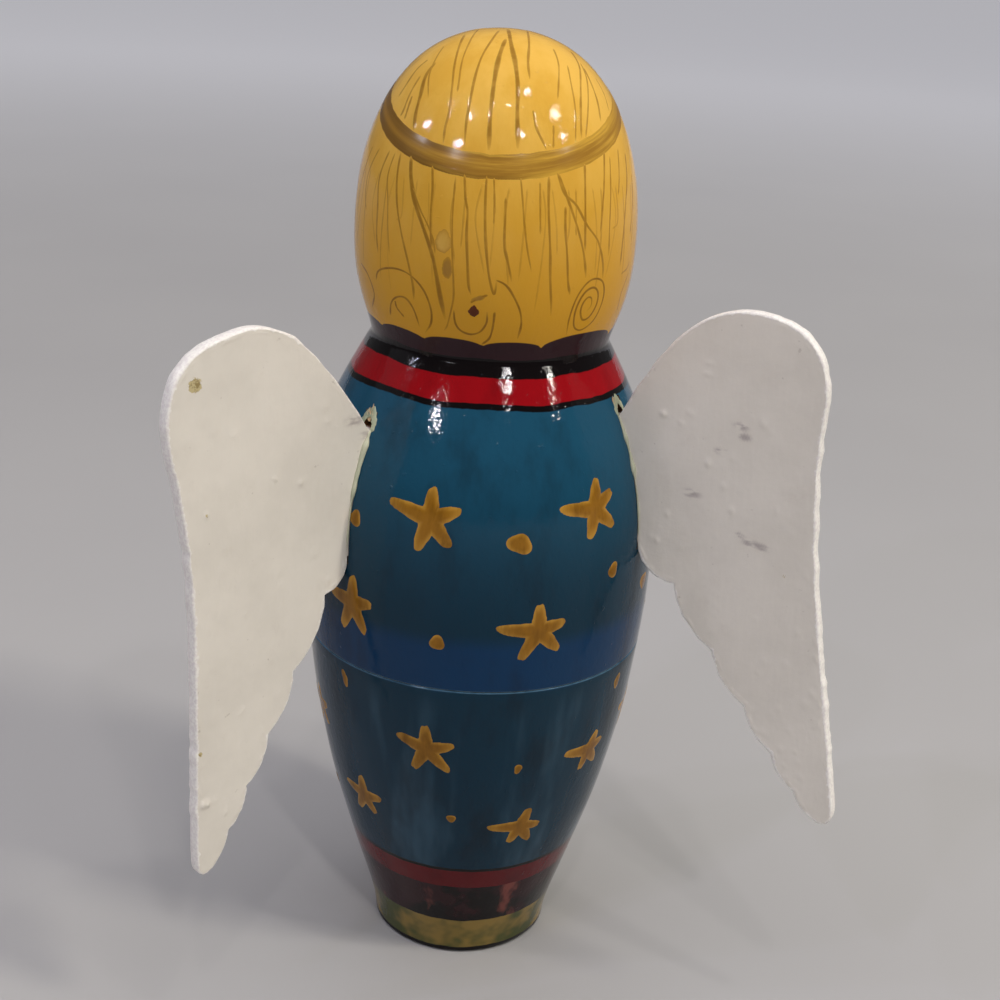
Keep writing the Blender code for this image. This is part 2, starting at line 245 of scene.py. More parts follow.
def turnedOutline(shape):
    # crown to foot in four cubic curves; each leaves a turning point upright or along its own slope
    head, neck, belly, foot = (np.array(shape[key]) for key in ("head", "neck", "belly", "foot"))
    top = np.array([0.0, shape["height"]])
    throat = neck + shape["throat"] * (head - neck)
    collar = neck + shape["collar"] * (belly - neck)
    ankle = foot + shape["ankle"] * (belly - foot)
    crownFull = (head[0], head[1] + shape["crownFull"] * (top[1] - head[1]))
    cheekFull = (head[0], head[1] - shape["cheekFull"] * (head[1] - neck[1]))
    shoulderFull = (belly[0], belly[1] + shape["shoulderFull"] * (neck[1] - belly[1]))
    bodyFull = (belly[0], belly[1] - shape["bodyFull"] * (belly[1] - foot[1]))
    parts = [cubic(top, (shape["crownFlat"] * head[0], top[1]), crownFull, head, shape["steps"]),
             cubic(head, cheekFull, throat, neck, shape["steps"]),
             cubic(neck, collar, shoulderFull, belly, shape["steps"]),
             cubic(belly, bodyFull, ankle, foot, shape["steps"])]
    return np.concatenate([part[:-1] for part in parts] + [foot[None]])


outline = turnedOutline(outlineShape)
outlineArc = pathLength(outline)
slope = np.gradient(outline, outlineArc, axis=0)
outlineNormal = np.stack([-slope[:, 1], slope[:, 0]], 1)


def radiusAt(height):
    return np.interp(height, outline[::-1, 1], outline[::-1, 0])


def arcAt(height):
    return np.interp(height, outline[::-1, 1], outlineArc[::-1])


chiselSwell = {"depth": 0.03 * mm, "fadeRadius": 12 * mm}


def handTurned(turn, height, radius):
    # slow swells of the chisel and the thick varnish: three crossing waves that fade out at the crown
    waves = np.sin(3 * turn + 90 * height) + np.sin(5 * turn - 140 * height + 1.3) + np.sin(2 * turn + 310 * height)
    return chiselSwell["depth"] * waves * np.minimum(1.0, radius / chiselSwell["fadeRadius"])


def onDoll(doll, turn, arc, lift):
    # a place on the painted skin: turn is the angle from the back, arc the way down from the crown,
    # lift the height off the skin along its normal
    radius, height = (np.interp(arc, outlineArc, outline[:, k]) for k in range(2))
    outwards, upwards = (np.interp(arc, outlineArc, outlineNormal[:, k]) for k in range(2))
    radius = radius + handTurned(turn, height, radius) + lift * outwards
    height = height + lift * upwards
    around = np.stack([radius * np.sin(turn), radius * np.cos(turn), height], -1) * doll["scale"]
    return around + np.array([0, 0, doll["stand"]])


# The dolls: walls as turned, the rest from the frame

dolls = {
    "outer": {"wall": 3.2 * mm, "lip": 2.0 * mm, "spigotWall": 1.8 * mm, "columns": 240, "inside": "second"},
    "second": {"wall": 2.8 * mm, "lip": 1.7 * mm, "spigotWall": 1.6 * mm, "columns": 168, "inside": "third"},
    "third": {"wall": 2.4 * mm, "lip": 1.4 * mm, "spigotWall": 1.4 * mm, "columns": 144, "inside": "fourth"},
    "fourth": {"wall": 2.0 * mm, "lip": 1.2 * mm, "spigotWall": 1.2 * mm, "columns": 120, "inside": "smallest"},
    "smallest": {"columns": 120},
}
headroom = 2.0 * mm
boreEndRounding = 0.4
edgeRound = 0.25 * mm  # broken edges of rims and spigots
rimGap = 0.1 * mm  # the seam stands open by this much
bendPoints = 4  # points round a softened corner
hollowSteps = {"skin": 600, "bore": 44, "dome": 12, "cup": 40}  # rows of points

for name, doll in dolls.items():
    doll["name"] = name
    lower, upper = ("smallest_doll",) * 2 if name == "smallest" else (f"{name}_lower_half", f"{name}_upper_half")
    doll["stand"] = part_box(lower)[0].z
    doll["scale"] = (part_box(upper)[1].z - doll["stand"]) / outlineShape["height"]
    doll["bodies"] = {"lower": f"{name}_lower", "upper": f"{name}_upper"}
    if name == "smallest":
        doll["bodies"] = {"lower": "smallest", "upper": "smallest"}
    else:
        doll["seam"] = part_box(upper)[0].z - doll["stand"] - fitGap
        doll["spigotTop"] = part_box(lower)[1].z - doll["stand"]
for doll in dolls.values():
    if "inside" in doll:
        inner = dolls[doll["inside"]]
        doll["floor"] = inner["stand"] - doll["stand"] - fitGap
        doll["boreEnd"] = inner["stand"] - doll["stand"] + inner["scale"] * outlineShape["height"] + headroom
        doll["rebate"] = doll["scale"] * radiusAt(doll["seam"] / doll["scale"]) - doll["lip"]
        doll["spigot"] = doll["rebate"] - fitGap
        doll["bore"] = doll["spigot"] - doll["spigotWall"]


def hollowRadius(doll, heights):
    # the skin less the wall, never wider than the spigot's bore and never widening upwards above the seam
    rise = np.linspace(0, doll["scale"] * outlineShape["height"], hollowSteps["skin"])
    reach = doll["scale"] * radiusAt(rise / doll["scale"])
    above = rise >= doll["seam"]
    reach[above] = np.minimum.accumulate(reach[above])
    return np.minimum(np.interp(heights, rise, reach) - doll["wall"], doll["bore"])


def softened(corners, radius):
    # a line of corners with each inner corner cut round: a parabola between points one radius either side of it
    corners = np.asarray(corners, float)
    before = corners[:-2] - corners[1:-1]
    after = corners[2:] - corners[1:-1]
    start = corners[1:-1] + radius * before / np.linalg.norm(before, axis=1)[:, None]
    end = corners[1:-1] + radius * after / np.linalg.norm(after, axis=1)[:, None]
    t = np.linspace(0, 1, bendPoints)[None, :, None]
    bends = (1 - t) ** 2 * start[:, None] + 2 * t * (1 - t) * corners[1:-1, None] + t ** 2 * end[:, None]
    return np.concatenate([corners[:1], bends.reshape(-1, 2), corners[-1:]])


def upperProfile(doll):
    # down the skin to the rim, in to the rebate, and up the bore to its domed end on the axis
    skin = doll["scale"] * outline
    rim = doll["seam"] + rimGap
    outside = skin[skin[:, 1] > rim + 2 * edgeRound]
    rebateEnd = doll["spigotTop"] + fitGap
    mouth = softened([outside[-1], (doll["scale"] * radiusAt(rim / doll["scale"]), rim), (doll["rebate"], rim),
                      (doll["rebate"], rebateEnd), (hollowRadius(doll, rebateEnd), rebateEnd),
                      (hollowRadius(doll, rebateEnd + mm), rebateEnd + mm)], edgeRound)
    endRadius = hollowRadius(doll, doll["boreEnd"])
    rounding = boreEndRounding * endRadius
    rise = np.linspace(rebateEnd + 2 * mm, doll["boreEnd"] - rounding, hollowSteps["bore"])
    turn = np.linspace(0, np.pi / 2, hollowSteps["dome"])[1:]
    dome = np.stack([endRadius * np.cos(turn), doll["boreEnd"] - rounding * (1 - np.sin(turn))], 1)
    inside = np.concatenate([mouth[1:], np.stack([hollowRadius(doll, rise), rise], 1), dome])
    return np.concatenate([outside, inside]), len(outside) + bendPoints


def lowerProfile(doll):
    # from the axis across the hollow's floor, up the hollow, over the spigot to the seam, and down the skin to the
    # base, back to the axis
    skin = doll["scale"] * outline
    outside = skin[skin[:, 1] < doll["seam"] - 2 * edgeRound]
    edge = (doll["scale"] * radiusAt(doll["seam"] / doll["scale"]), doll["seam"])
    lip = softened([(doll["spigot"], doll["spigotTop"] - mm), (doll["spigot"], doll["seam"]), edge, outside[0]],
                   edgeRound)
    bevel = np.array([[outside[-1][0] - outside[-1][1], 0.0], [0.0, 0.0]])
    rise = np.linspace(doll["floor"] + mm, doll["spigotTop"] - mm, hollowSteps["cup"])
    floor = [(0.0, doll["floor"]), (hollowRadius(doll, doll["floor"]), doll["floor"]),
             (hollowRadius(doll, rise[0]), rise[0])]
    top = softened([(doll["bore"], rise[-1]), (doll["bore"], doll["spigotTop"]),
                    (doll["spigot"], doll["spigotTop"]), lip[0]], edgeRound)
    hollow = np.stack([hollowRadius(doll, rise), rise], 1)
    inside = np.concatenate([softened(floor, mm / 2)[:-1], hollow[:-1], top[:-1]])
    profile = np.concatenate([inside, lip[:-1], outside, bevel])
    return profile, len(inside) + len(lip) - 1 - bendPoints


def turnedGrid(doll, profile):
    # the profile carried round the axis; the skin takes the hand-turned swells, the hollow stays true
    turn = np.linspace(0, 2 * np.pi, doll["columns"], endpoint=False)[None]
    radius, height = profile[:, :1], profile[:, 1:]
    skinRadius = doll["scale"] * radiusAt(height / doll["scale"])
    onSkin = np.clip(1 - (skinRadius - radius) / mm, 0, 1)
    swell = doll["scale"] * handTurned(turn, height / doll["scale"], radius / doll["scale"])
    radius = radius + onSkin * swell
    return np.stack([radius * np.sin(turn), radius * np.cos(turn), height + 0 * turn + doll["stand"]], -1)


# Where the paint lies, as distances that the paint shader reads

paintPlan = {
    # the hair's edge points down at these angles from the back
    "hairDips": (-166, -140, -113, -87, -60, -15, 11, 38, 65, 91, 117, 143, 170),
    "hairEdge": 128.5, "scallop": 0.045, "scallopPower": 0.55,
    "faceCentre": 141.5, "faceWide": 16.5, "faceTall": 15.0, "partingDip": 2.4,
    "partingWide": 5.0, "partingShare": 0.4, "cheekTurn": 24.0, "cheekHeight": 137.0, "cheekSize": 5.2,
    "headRadius": 25.5,
}


def markPaint(mesh, doll, plan):
    # heights and distances in the outer doll's millimetres, so that one paint serves every size
    points = pointsOf(mesh)
    height = (points[:, 2] - doll["stand"]) / doll["scale"] / mm
    turn = np.degrees(np.arctan2(points[:, 0], points[:, 1]))
    dips = np.array(plan["hairDips"], float)
    dips = np.concatenate([dips[-1:] - 360, dips, dips[:1] + 360])
    after = np.clip(np.searchsorted(dips, turn), 1, len(dips) - 1)
    gap = dips[after] - dips[after - 1]
    share = (turn - dips[after - 1]) / gap
    bulge = plan["scallop"] * gap * np.clip(4 * share * (1 - share), 0, 1) ** plan["scallopPower"]
    fromFront = (turn % 360 - 180) * np.pi / 180 * radiusAt(height * mm) / mm
    fringe = plan["partingShare"] * plan["partingDip"] * np.exp(-(fromFront / plan["partingWide"]) ** 2)
    oval = np.hypot(fromFront / plan["faceWide"], (height - plan["faceCentre"] - fringe) / plan["faceTall"])
    cheekSide = np.abs(fromFront) - np.radians(plan["cheekTurn"]) * plan["headRadius"]
    cheek = np.exp(-(np.hypot(cheekSide, height - plan["cheekHeight"]) / plan["cheekSize"]) ** 2)
    setAttribute(mesh, "bandHeight", height)
    setAttribute(mesh, "hairLine", height - plan["hairEdge"] - bulge)
    setAttribute(mesh, "faceLine", (1 - oval) * plan["faceTall"])
    setAttribute(mesh, "cheek", cheek)


# Shared finishes

def varnishGroup():
    # brushed-on varnish: swells a few millimetres wide, fine peel and a few specks of dust under it
    tree, take, give = newGroup("varnishCoat", [("Vector", "vector"), ("Gloss", "value"), ("Specks", "value")],
                                [("Roughness", "value"), ("Height", "value")])
    swell = noise(tree, take["Vector"], 260, 2, 0.5, (1, 1, 0.6))
    peel = noise(tree, take["Vector"], 1000, 3, 0.55, (1, 1, 0.6))
    dust = step(tree, noise(tree, take["Vector"], 900, 1, 0.4), 0.72, 0.8)
    dust = calc(tree, "MULTIPLY", dust, take["Specks"])
    height = calc(tree, "MULTIPLY_ADD", peel, 0.6, swell)
    tree.links.new(calc(tree, "MULTIPLY_ADD", dust, 0.8, height), give["Height"])
    worn = step(tree, noise(tree, take["Vector"], 70, 4, 0.6), 0.45, 0.8)
    rough = calc(tree, "MULTIPLY_ADD", worn, 0.06, take["Gloss"])
    tree.links.new(calc(tree, "MULTIPLY_ADD", dust, 0.2, rough), give["Roughness"])
    return tree


def brushGroup():
    # hand-brushed paint: streaks along one direction that let a second tone through
    tree, take, give = newGroup("brushedPaint", [("Vector", "vector"), ("Tone", "colour"), ("Thin Tone", "colour"),
                                                 ("Thinness", "value")], [("Color", "colour"), ("Height", "value")])
    streak = noise(tree, take["Vector"], 420, 4, 0.65, (1, 1, 0.25))
    cloud = noise(tree, take["Vector"], 160, 3, 0.6)
    mask = calc(tree, "MULTIPLY", step(tree, calc(tree, "MULTIPLY_ADD", cloud, 0.6, streak), 0.6, 1.15),
                take["Thinness"])
    tree.links.new(mixTone(tree, mask, take["Tone"], take["Thin Tone"]), give["Color"])
    tree.links.new(streak, give["Height"])
    return tree


def grainGroup():
    # pale turned wood: upright fibres, with fine rings left by the tool
    tree, take, give = newGroup("turnedGrain", [("Vector", "vector"), ("Tone", "colour"), ("Fibre Tone", "colour")],
                                [("Color", "colour"), ("Height", "value")])
    fibre = noise(tree, take["Vector"], 700, 4, 0.6, (1, 1, 0.06))
    cloud = noise(tree, take["Vector"], 60, 3, 0.5, (1, 1, 0.3))
    rings = place(tree, "ShaderNodeTexWave", {"Vector": take["Vector"], "Scale": 420, "Distortion": 1.5,
                                              "Detail": 2.0}, bands_direction="Z").outputs["Fac"]
    mask = step(tree, calc(tree, "MULTIPLY_ADD", cloud, 0.5, fibre), 0.55, 1.0)
    tree.links.new(mixTone(tree, mask, take["Tone"], take["Fibre Tone"]), give["Color"])
    tree.links.new(calc(tree, "MULTIPLY_ADD", rings, 0.5, fibre), give["Height"])
    return tree


bands = (  # each band of paint starts at this height in mm and is a named colour of the doll's own
    (1.4, "Ground"), (9.0, "Border"), (19.0, "Hem"), (23.6, "Line"), (24.3, "Robe"),
    (118.2, "Line"), (119.2, "Collar"), (123.4, "Line"), (126.4, "Throat"),
)
fades = {  # heights in mm between which one tone goes over into the next
    "robe": (78, 114), "reflectedFloor": (68, 60), "sashFoot": (66.5, 67.5), "sashTop": (79, 75), "hair": (130, 172),
}
seamLine = 67.15  # height of the pale worn line on the seam
bandEdge = 0.09  # half the blur of a painted edge


def bandGroup():
    # the doll's painted zones from the foot up, with the wobble of a brush held against the turning wood
    tones = ("Line", "Ground", "Moss", "Border", "Hem", "Robe Low", "Robe Sash", "Robe Top", "Collar", "Throat",
             "Hair Low", "Hair Lit Top", "Hair Ink", "Skin", "Blush", "Worn And Reflected")
    lines = ("Band Height", "Hair Line", "Face Line", "Cheek", "Ink")
    tree, take, give = newGroup("dollBands", [("Vector", "vector")] + [(line, "value") for line in lines]
                                + [(tone, "colour") for tone in tones], [("Color", "colour"), ("Height", "value")])
    slow = noise(tree, take["Vector"], 70, 2, 0.5, (1, 1, 0.1))
    fine = noise(tree, take["Vector"], 500, 2, 0.5)
    wobble = calc(tree, "ADD", calc(tree, "MULTIPLY_ADD", slow, 1.6, -0.8),
                  calc(tree, "MULTIPLY_ADD", fine, 0.3, -0.15))
    height = calc(tree, "ADD", take["Band Height"], wobble)
    streak = noise(tree, take["Vector"], 120, 4, 0.6, (1, 1, 0.35))
    patch = noise(tree, take["Vector"], 90, 3, 0.6)
    robe = mixTone(tree, step(tree, height, *fades["robe"]), take["Robe Low"], take["Robe Top"])
    # pale upright streaks low on the robe: painted reflections of the floor in the varnish, in the tone of the worn
    # seam
    reflectionStreak = noise(tree, take["Vector"], 130, 3, 0.5, (1, 1, 0.07))
    reflectionStreak = calc(tree, "MULTIPLY", step(tree, reflectionStreak, 0.48, 0.72), step(tree, height, *fades["reflectedFloor"]))
    robe = mixTone(tree, calc(tree, "MULTIPLY", reflectionStreak, 0.22), robe, take["Worn And Reflected"])
    sash = calc(tree, "MULTIPLY", step(tree, height, *fades["sashFoot"]), step(tree, height, *fades["sashTop"]))
    robe = mixTone(tree, sash, robe, take["Robe Sash"])
    robe = mixTone(tree, partStep(tree, streak, 0.45, 0.75, 0.4), robe, take["Line"])
    rim = calc(tree, "ABSOLUTE", calc(tree, "SUBTRACT", take["Band Height"], seamLine))
    rim = calc(tree, "MULTIPLY", step(tree, rim, 0.36, 0.12), calc(tree, "MULTIPLY_ADD", fine, 0.9, 0.15))
    robe = mixTone(tree, rim, robe, take["Worn And Reflected"])
    border = mixTone(tree, step(tree, patch, 0.47, 0.56), take["Border"], take["Line"])
    border = mixTone(tree, partStep(tree, streak, 0.55, 0.68, 0.3), border, take["Blush"])
    ground = mixTone(tree, step(tree, patch, 0.44, 0.6), take["Ground"], take["Moss"])
    hem, collar = (mixTone(tree, partStep(tree, streak, 0.4, 0.75, 0.3), take[tone], take["Line"])
                   for tone in ("Hem", "Collar"))
    painted = {"Line": take["Line"], "Ground": ground, "Border": border, "Hem": hem, "Robe": robe,
               "Collar": collar, "Throat": take["Throat"]}
    colour = take["Line"]
    for start, tone in bands:
        colour = mixTone(tree, step(tree, height, start - bandEdge, start + bandEdge), colour, painted[tone])
    # the hair goes paler towards the crown, partly as painted light from above
    hair = mixTone(tree, step(tree, height, *fades["hair"]), take["Hair Low"], take["Hair Lit Top"])
    hair = mixTone(tree, partStep(tree, streak, 0.35, 0.7, 0.5), hair, take["Hair Low"])
    dry = calc(tree, "MULTIPLY_ADD", step(tree, fine, 0.3, 0.6), 0.25, 0.75)
    hair = mixTone(tree, calc(tree, "MULTIPLY", take["Ink"], dry), hair, take["Hair Ink"])
    skin = mixTone(tree, take["Cheek"], take["Skin"], take["Blush"])
    hair = mixTone(tree, step(tree, calc(tree, "ADD", take["Face Line"], wobble), -0.1, 0.1), hair, skin)
    hairEdge = calc(tree, "MULTIPLY_ADD", wobble, 0.35, take["Hair Line"])
    tree.links.new(mixTone(tree, step(tree, hairEdge, -bandEdge, bandEdge), colour, hair), give["Color"])
    tree.links.new(streak, give["Height"])
    return tree


varnishCoat, brushedPaint, turnedGrain, dollBands = varnishGroup(), brushGroup(), grainGroup(), bandGroup()

ownTones = ("Robe Low", "Robe Sash", "Robe Top", "Hem", "Collar")
dollTones = {  # screen colours of each doll's own tones; the smallest repeats the outer one
    "outer": ((5, 44, 62), (5, 49, 84), (26, 74, 97), (92, 10, 17), (146, 10, 19)),
    "second": ((96, 12, 18), (120, 16, 22), (152, 28, 30), (24, 70, 96), (28, 84, 110)),
    "third": ((22, 58, 34), (30, 76, 42), (50, 102, 58), (120, 18, 24), (164, 14, 24)),
    "fourth": ((134, 80, 18), (150, 94, 24), (184, 124, 38), (24, 70, 96), (28, 84, 110)),
}
dollTones["smallest"] = dollTones["outer"]
sharedTones = {
    "Line": (14, 9, 10), "Ground": (74, 78, 42), "Moss": (138, 114, 58), "Border": (44, 18, 22),
    "Throat": (44, 20, 26), "Hair Low": (205, 150, 35), "Hair Lit Top": (229, 181, 82), "Hair Ink": (112, 72, 14),
    "Skin": (226, 178, 138), "Blush": (196, 104, 90), "Worn And Reflected": (92, 128, 150),
}
varnishLook = {"gloss": 0.045, "specks": 0.5, "depth": 0.08 * mm, "shine": 0.22, "bending": 1.45}
strokeDepth = 0.05 * mm  # of the brush's marks
woodLook = {"rough": 0.62, "depth": 0.06 * mm}


def varnished(shader):
    # the low shine of the varnish, on the skin and on the strokes alike
    shader["IOR"].default_value = varnishLook["bending"]
    shader["Specular IOR Level"].default_value = varnishLook["shine"]


def paintedSkin(name):
    material, tree, where, shader = newMaterial(f"{name}PaintedSkin")
    lines = {"Band Height": "bandHeight", "Hair Line": "hairLine", "Face Line": "faceLine", "Cheek": "cheek",
             "Ink": "ink"}
    sockets = {label: attribute(tree, key) for label, key in lines.items()}
    tones = {**sharedTones, **dict(zip(ownTones, dollTones[name]))}
    sockets.update({label: tint(*tone) for label, tone in tones.items()})
    zones = useGroup(tree, dollBands, {"Vector": where, **sockets})
    coat = useGroup(tree, varnishCoat, {"Vector": where, "Gloss": varnishLook["gloss"],
                                        "Specks": varnishLook["specks"]})
    tree.links.new(zones["Color"], shader["Base Color"])
    tree.links.new(coat["Roughness"], shader["Roughness"])
    varnished(shader)
    relief(tree, shader, coat["Height"], varnishLook["depth"])
    return material


def bareWood(name, tone, fibre):
    material, tree, where, shader = newMaterial(name)
    grain = useGroup(tree, turnedGrain, {"Vector": where, "Tone": tint(*tone), "Fibre Tone": tint(*fibre)})
    tree.links.new(grain["Color"], shader["Base Color"])
    shader["Roughness"].default_value = woodLook["rough"]
    relief(tree, shader, grain["Height"], woodLook["depth"])
    return material


def strokePaint(name, tone, thinTone, thinness, rough=0.16, rimTone=None, alongStroke=False):
    # paint laid on with a small brush, under the same varnish as the skin; its rim may dry in another tone
    material, tree, where, shader = newMaterial(name)
    tone = tint(*tone)
    if alongStroke:
        ways = [attribute(tree, way) for way in ("strokeAcross", "strokeAside", "strokeAlong")]
        where = place(tree, "ShaderNodeCombineXYZ", dict(enumerate(ways))).outputs[0]
        # along the halo, the thinness also carries painted shade
        thinness = calc(tree, "MULTIPLY", attribute(tree, "strokeThinAndShade"), thinness)
    if rimTone:
        tone = mixTone(tree, step(tree, attribute(tree, "rim"), 0.45, 1.05), tone, tint(*rimTone))
    paint = useGroup(tree, brushedPaint, {"Vector": where, "Tone": tone, "Thin Tone": tint(*thinTone),
                                          "Thinness": thinness})
    tree.links.new(paint["Color"], shader["Base Color"])
    shader["Roughness"].default_value = rough
    varnished(shader)
    relief(tree, shader, paint["Height"], strokeDepth)
    return material


skinPaints = {name: paintedSkin(name) for name in dolls}
hollowWood = bareWood("hollowWood", (214, 180, 132), (176, 134, 86))
tornWood = bareWood("tornWood", (234, 206, 164), (188, 138, 86))
# dark wood for the slot walls: painted shade inside the slots
shadedSlotWood = bareWood("shadedSlotWood", (112, 72, 40), (70, 42, 22))
goldPaint = strokePaint("goldPaint", (146, 100, 24), (106, 68, 12), 0.9, 0.18, (190, 142, 56))
# the halo's rim tone also serves as painted shade on its left
haloPaint = strokePaint("haloPaint", (156, 113, 40), (222, 176, 66), 1.0, 0.24, (122, 86, 32), True)
facePaint = strokePaint("faceLinePaint", (92, 58, 22), (130, 88, 40), 0.6)
chipPaint = strokePaint("chippedSpot", (84, 38, 14), (120, 68, 28), 0.8, 0.3)
wornPaint = strokePaint("wornSpot", (208, 163, 72), (190, 142, 48), 0.9, 0.2, (172, 122, 34))
smudgePaint = strokePaint("smudgedSpot", (154, 113, 44), (176, 128, 40), 0.9, 0.2, (196, 143, 34))
chippedVarnish = strokePaint("chippedVarnish", (176, 180, 150), (120, 132, 112), 0.9, 0.45)
print("finishes ready")


# Shells of the five dolls

def addShells(doll):
    name = doll["name"]
    for half, profiled in (("lower", lowerProfile), ("upper", upperProfile)):
        profile, turnover = profiled(doll)
        rows = np.arange(len(profile) - 1)
        slots = (rows < turnover if half == "lower" else rows >= turnover).astype(int)
        shell = {"grid": turnedGrid(doll, profile), "wrap": True, "slots": slots}
        mesh = closeMesh(buildMesh(f"{name}_{half}_shell", [shell]))
        if name == "outer" and half == "upper":
            cutSlots(mesh)
        markPaint(mesh, doll, paintPlan)
        addPiece(mesh, [skinPaints[name], hollowWood, shadedSlotWood], doll["bodies"][half],
                 f"{name}_{half}_half")


def addSolidDoll(doll):
    skin = doll["scale"] * outline
    profile = np.concatenate([skin, [[skin[-1, 0] - skin[-1, 1], 0.0], [0.0, 0.0]]])
    mesh = closeMesh(buildMesh("smallest_turned_doll", [{"grid": turnedGrid(doll, profile), "wrap": True}]))
    markPaint(mesh, doll, paintPlan)
    addPiece(mesh, [skinPaints["smallest"]], "smallest", "smallest_doll")


# Wings: sawn board, one pattern for both, places as (outwards, upwards) from the start of the leading edge

wingPattern = {
    "thickness": 2.5 * mm, "spread": 54, "rootLength": 23 * mm, "slotDepth": 2.4 * mm, "slotOverrun": 3.0 * mm,
    "tongueSteps": 40, "footIn": 0.25 * mm, "slotFoot": 1.6 * mm,
    "shoulder": (38.0 * mm, 6.5 * mm), "tipRadius": 3.5 * mm, "tipFull": (0.3, 1.6), "lastFull": (0.6, 1.7),
    "notches": 5, "feather": 14.2 * mm, "shrink": 0.83, "featherSlope": -55.4, "bulge": 0.12, "firstBulge": 0.21,
    "rise": 61, "lean": -97, "sweep": -84, "round": 0.4 * mm,
    "edgeSteps": (40, 40, 60), "featherSteps": 34, "tipSteps": 25, "columns": 170, "roundSteps": 9,
    "slotSteps": 30, "slotOut": 40 * mm,
}
wingSides = {
    "left": {"side": 1, "root": 111.9 * mm, "reach": 1.5 * mm, "cant": -7.6, "size": 1.036,
             "notch": (12.0 * mm, -28.3 * mm), "top": (22.0 * mm, 22.6 * mm), "topFull": (0.66, 0.76),
             "tip": (44.0 * mm, -67.6 * mm), "seed": 3},
    "right": {"side": -1, "root": 115.0 * mm, "reach": 0.4 * mm, "cant": 3.6, "size": 1.0,
              "notch": (11.6 * mm, -30.9 * mm), "top": (23.0 * mm, 20.7 * mm), "topFull": (0.7, 0.62),
              "tip": (44.0 * mm, -69.0 * mm), "seed": 8},
}


def heading(degrees):
    return np.array([math.cos(math.radians(degrees)), math.sin(math.radians(degrees))])


def bulgedChord(start, end, bulge, steps):
    # an arc from start to end, standing out from its chord by a share of the chord's length
    across = end - start
    half = 2 * math.atan(2 * bulge)
    angle = half * np.linspace(-1, 1, steps)[:, None]
    along = 0.5 + np.sin(angle) / (2 * math.sin(half))
    out = (np.cos(angle) - math.cos(half)) / (2 * math.sin(half))
    return start + along * across + out * np.array([across[1], -across[0]])


def wingEdges(pattern, wing):
    # leading edge and trailing edge, both from the tongue's top corner to the lowest point of the tip
    cant, size = math.radians(wing["cant"]), wing["size"]
    turned = np.array([[math.cos(cant), math.sin(cant)], [-math.sin(cant), math.cos(cant)]])
    low = wing["root"] - pattern["rootLength"]
    corner = np.array([radiusAt(wing["root"]), wing["root"]])
    foot = np.array([radiusAt(low) - pattern["footIn"], low])
    start = corner + wing["reach"] * heading(pattern["rise"] + wing["cant"])
    flatFoot = (foot - start) / size @ turned.T
    top, shoulder, tip = np.array(wing["top"]), np.array(pattern["shoulder"]), np.array(wing["tip"])
    first = np.linalg.norm(top) / 3
    third = np.linalg.norm(tip - shoulder) / 3
    rootSteps, topSteps, outerSteps = pattern["edgeSteps"]
    leading = [cubic((0, 0), first * heading(pattern["rise"]), top - (first, 0), top, rootSteps),
               cubic(top, top + (wing["topFull"][0] * (shoulder[0] - top[0]), 0),
                     shoulder + (0, wing["topFull"][1] * (top[1] - shoulder[1])), shoulder, topSteps),
               cubic(shoulder, shoulder + third * heading(pattern["lean"]),
                     tip - third * heading(pattern["sweep"]), tip, outerSteps)]
    lengths = pattern["feather"] * pattern["shrink"] ** np.arange(pattern["notches"] - 1)
    steps = np.concatenate([[0], np.cumsum(lengths)])[:, None] * heading(pattern["featherSlope"])
    notches = np.array(wing["notch"]) + steps
    radius = pattern["tipRadius"]
    tipCurve = cubic(tip, tip + radius * np.array([pattern["tipFull"][0], -pattern["tipFull"][1]]),
                     notches[-1] + radius * np.array([pattern["lastFull"][0], -pattern["lastFull"][1]]),
                     notches[-1], pattern["tipSteps"])
    lowest = pattern["tipSteps"] // 2
    leading.append(tipCurve[:lowest + 1])
    ends = np.concatenate([flatFoot[None], notches])
    bulges = [pattern["firstBulge"]] + [pattern["bulge"]] * (pattern["notches"] - 1)
    feathers = [bulgedChord(a, b, bulge, pattern["featherSteps"]) for a, b, bulge in zip(ends, ends[1:], bulges)]
    trailing = np.concatenate([part[:-1] for part in feathers] + [tipCurve[lowest:][::-1]])
    leading, trailing = (start + size * line @ turned for line in (np.concatenate(leading), trailing))
    tongue = np.linspace(wing["root"], low, pattern["tongueSteps"])
    inner = np.stack([radiusAt(tongue) - pattern["slotDepth"] + fitGap, tongue], 1)
    return np.concatenate([inner[:1], corner[None], leading]), np.concatenate([inner, trailing])


def inPlane(wing, flat, off):
    # a point of the wing's flat drawing set up in its plane through the doll's axis, off to one side of it
    turn = math.radians(wing["side"] * wingPattern["spread"])
    outwards = np.array([math.sin(turn), math.cos(turn), 0])
    sideways = np.array([math.cos(turn), -math.sin(turn), 0])
    return flat[..., :1] * outwards + flat[..., 1:] * np.array([0, 0, 1]) + off[..., None] * sideways


def edgeNormal(line, left):
    # unit normals of a line of points, to its left or its right
    along = np.gradient(line, axis=0)
    along = along / np.maximum(np.linalg.norm(along, axis=1), 1e-9)[:, None]
    return np.stack([-along[:, 1], along[:, 0]], 1) * (1 if left else -1)


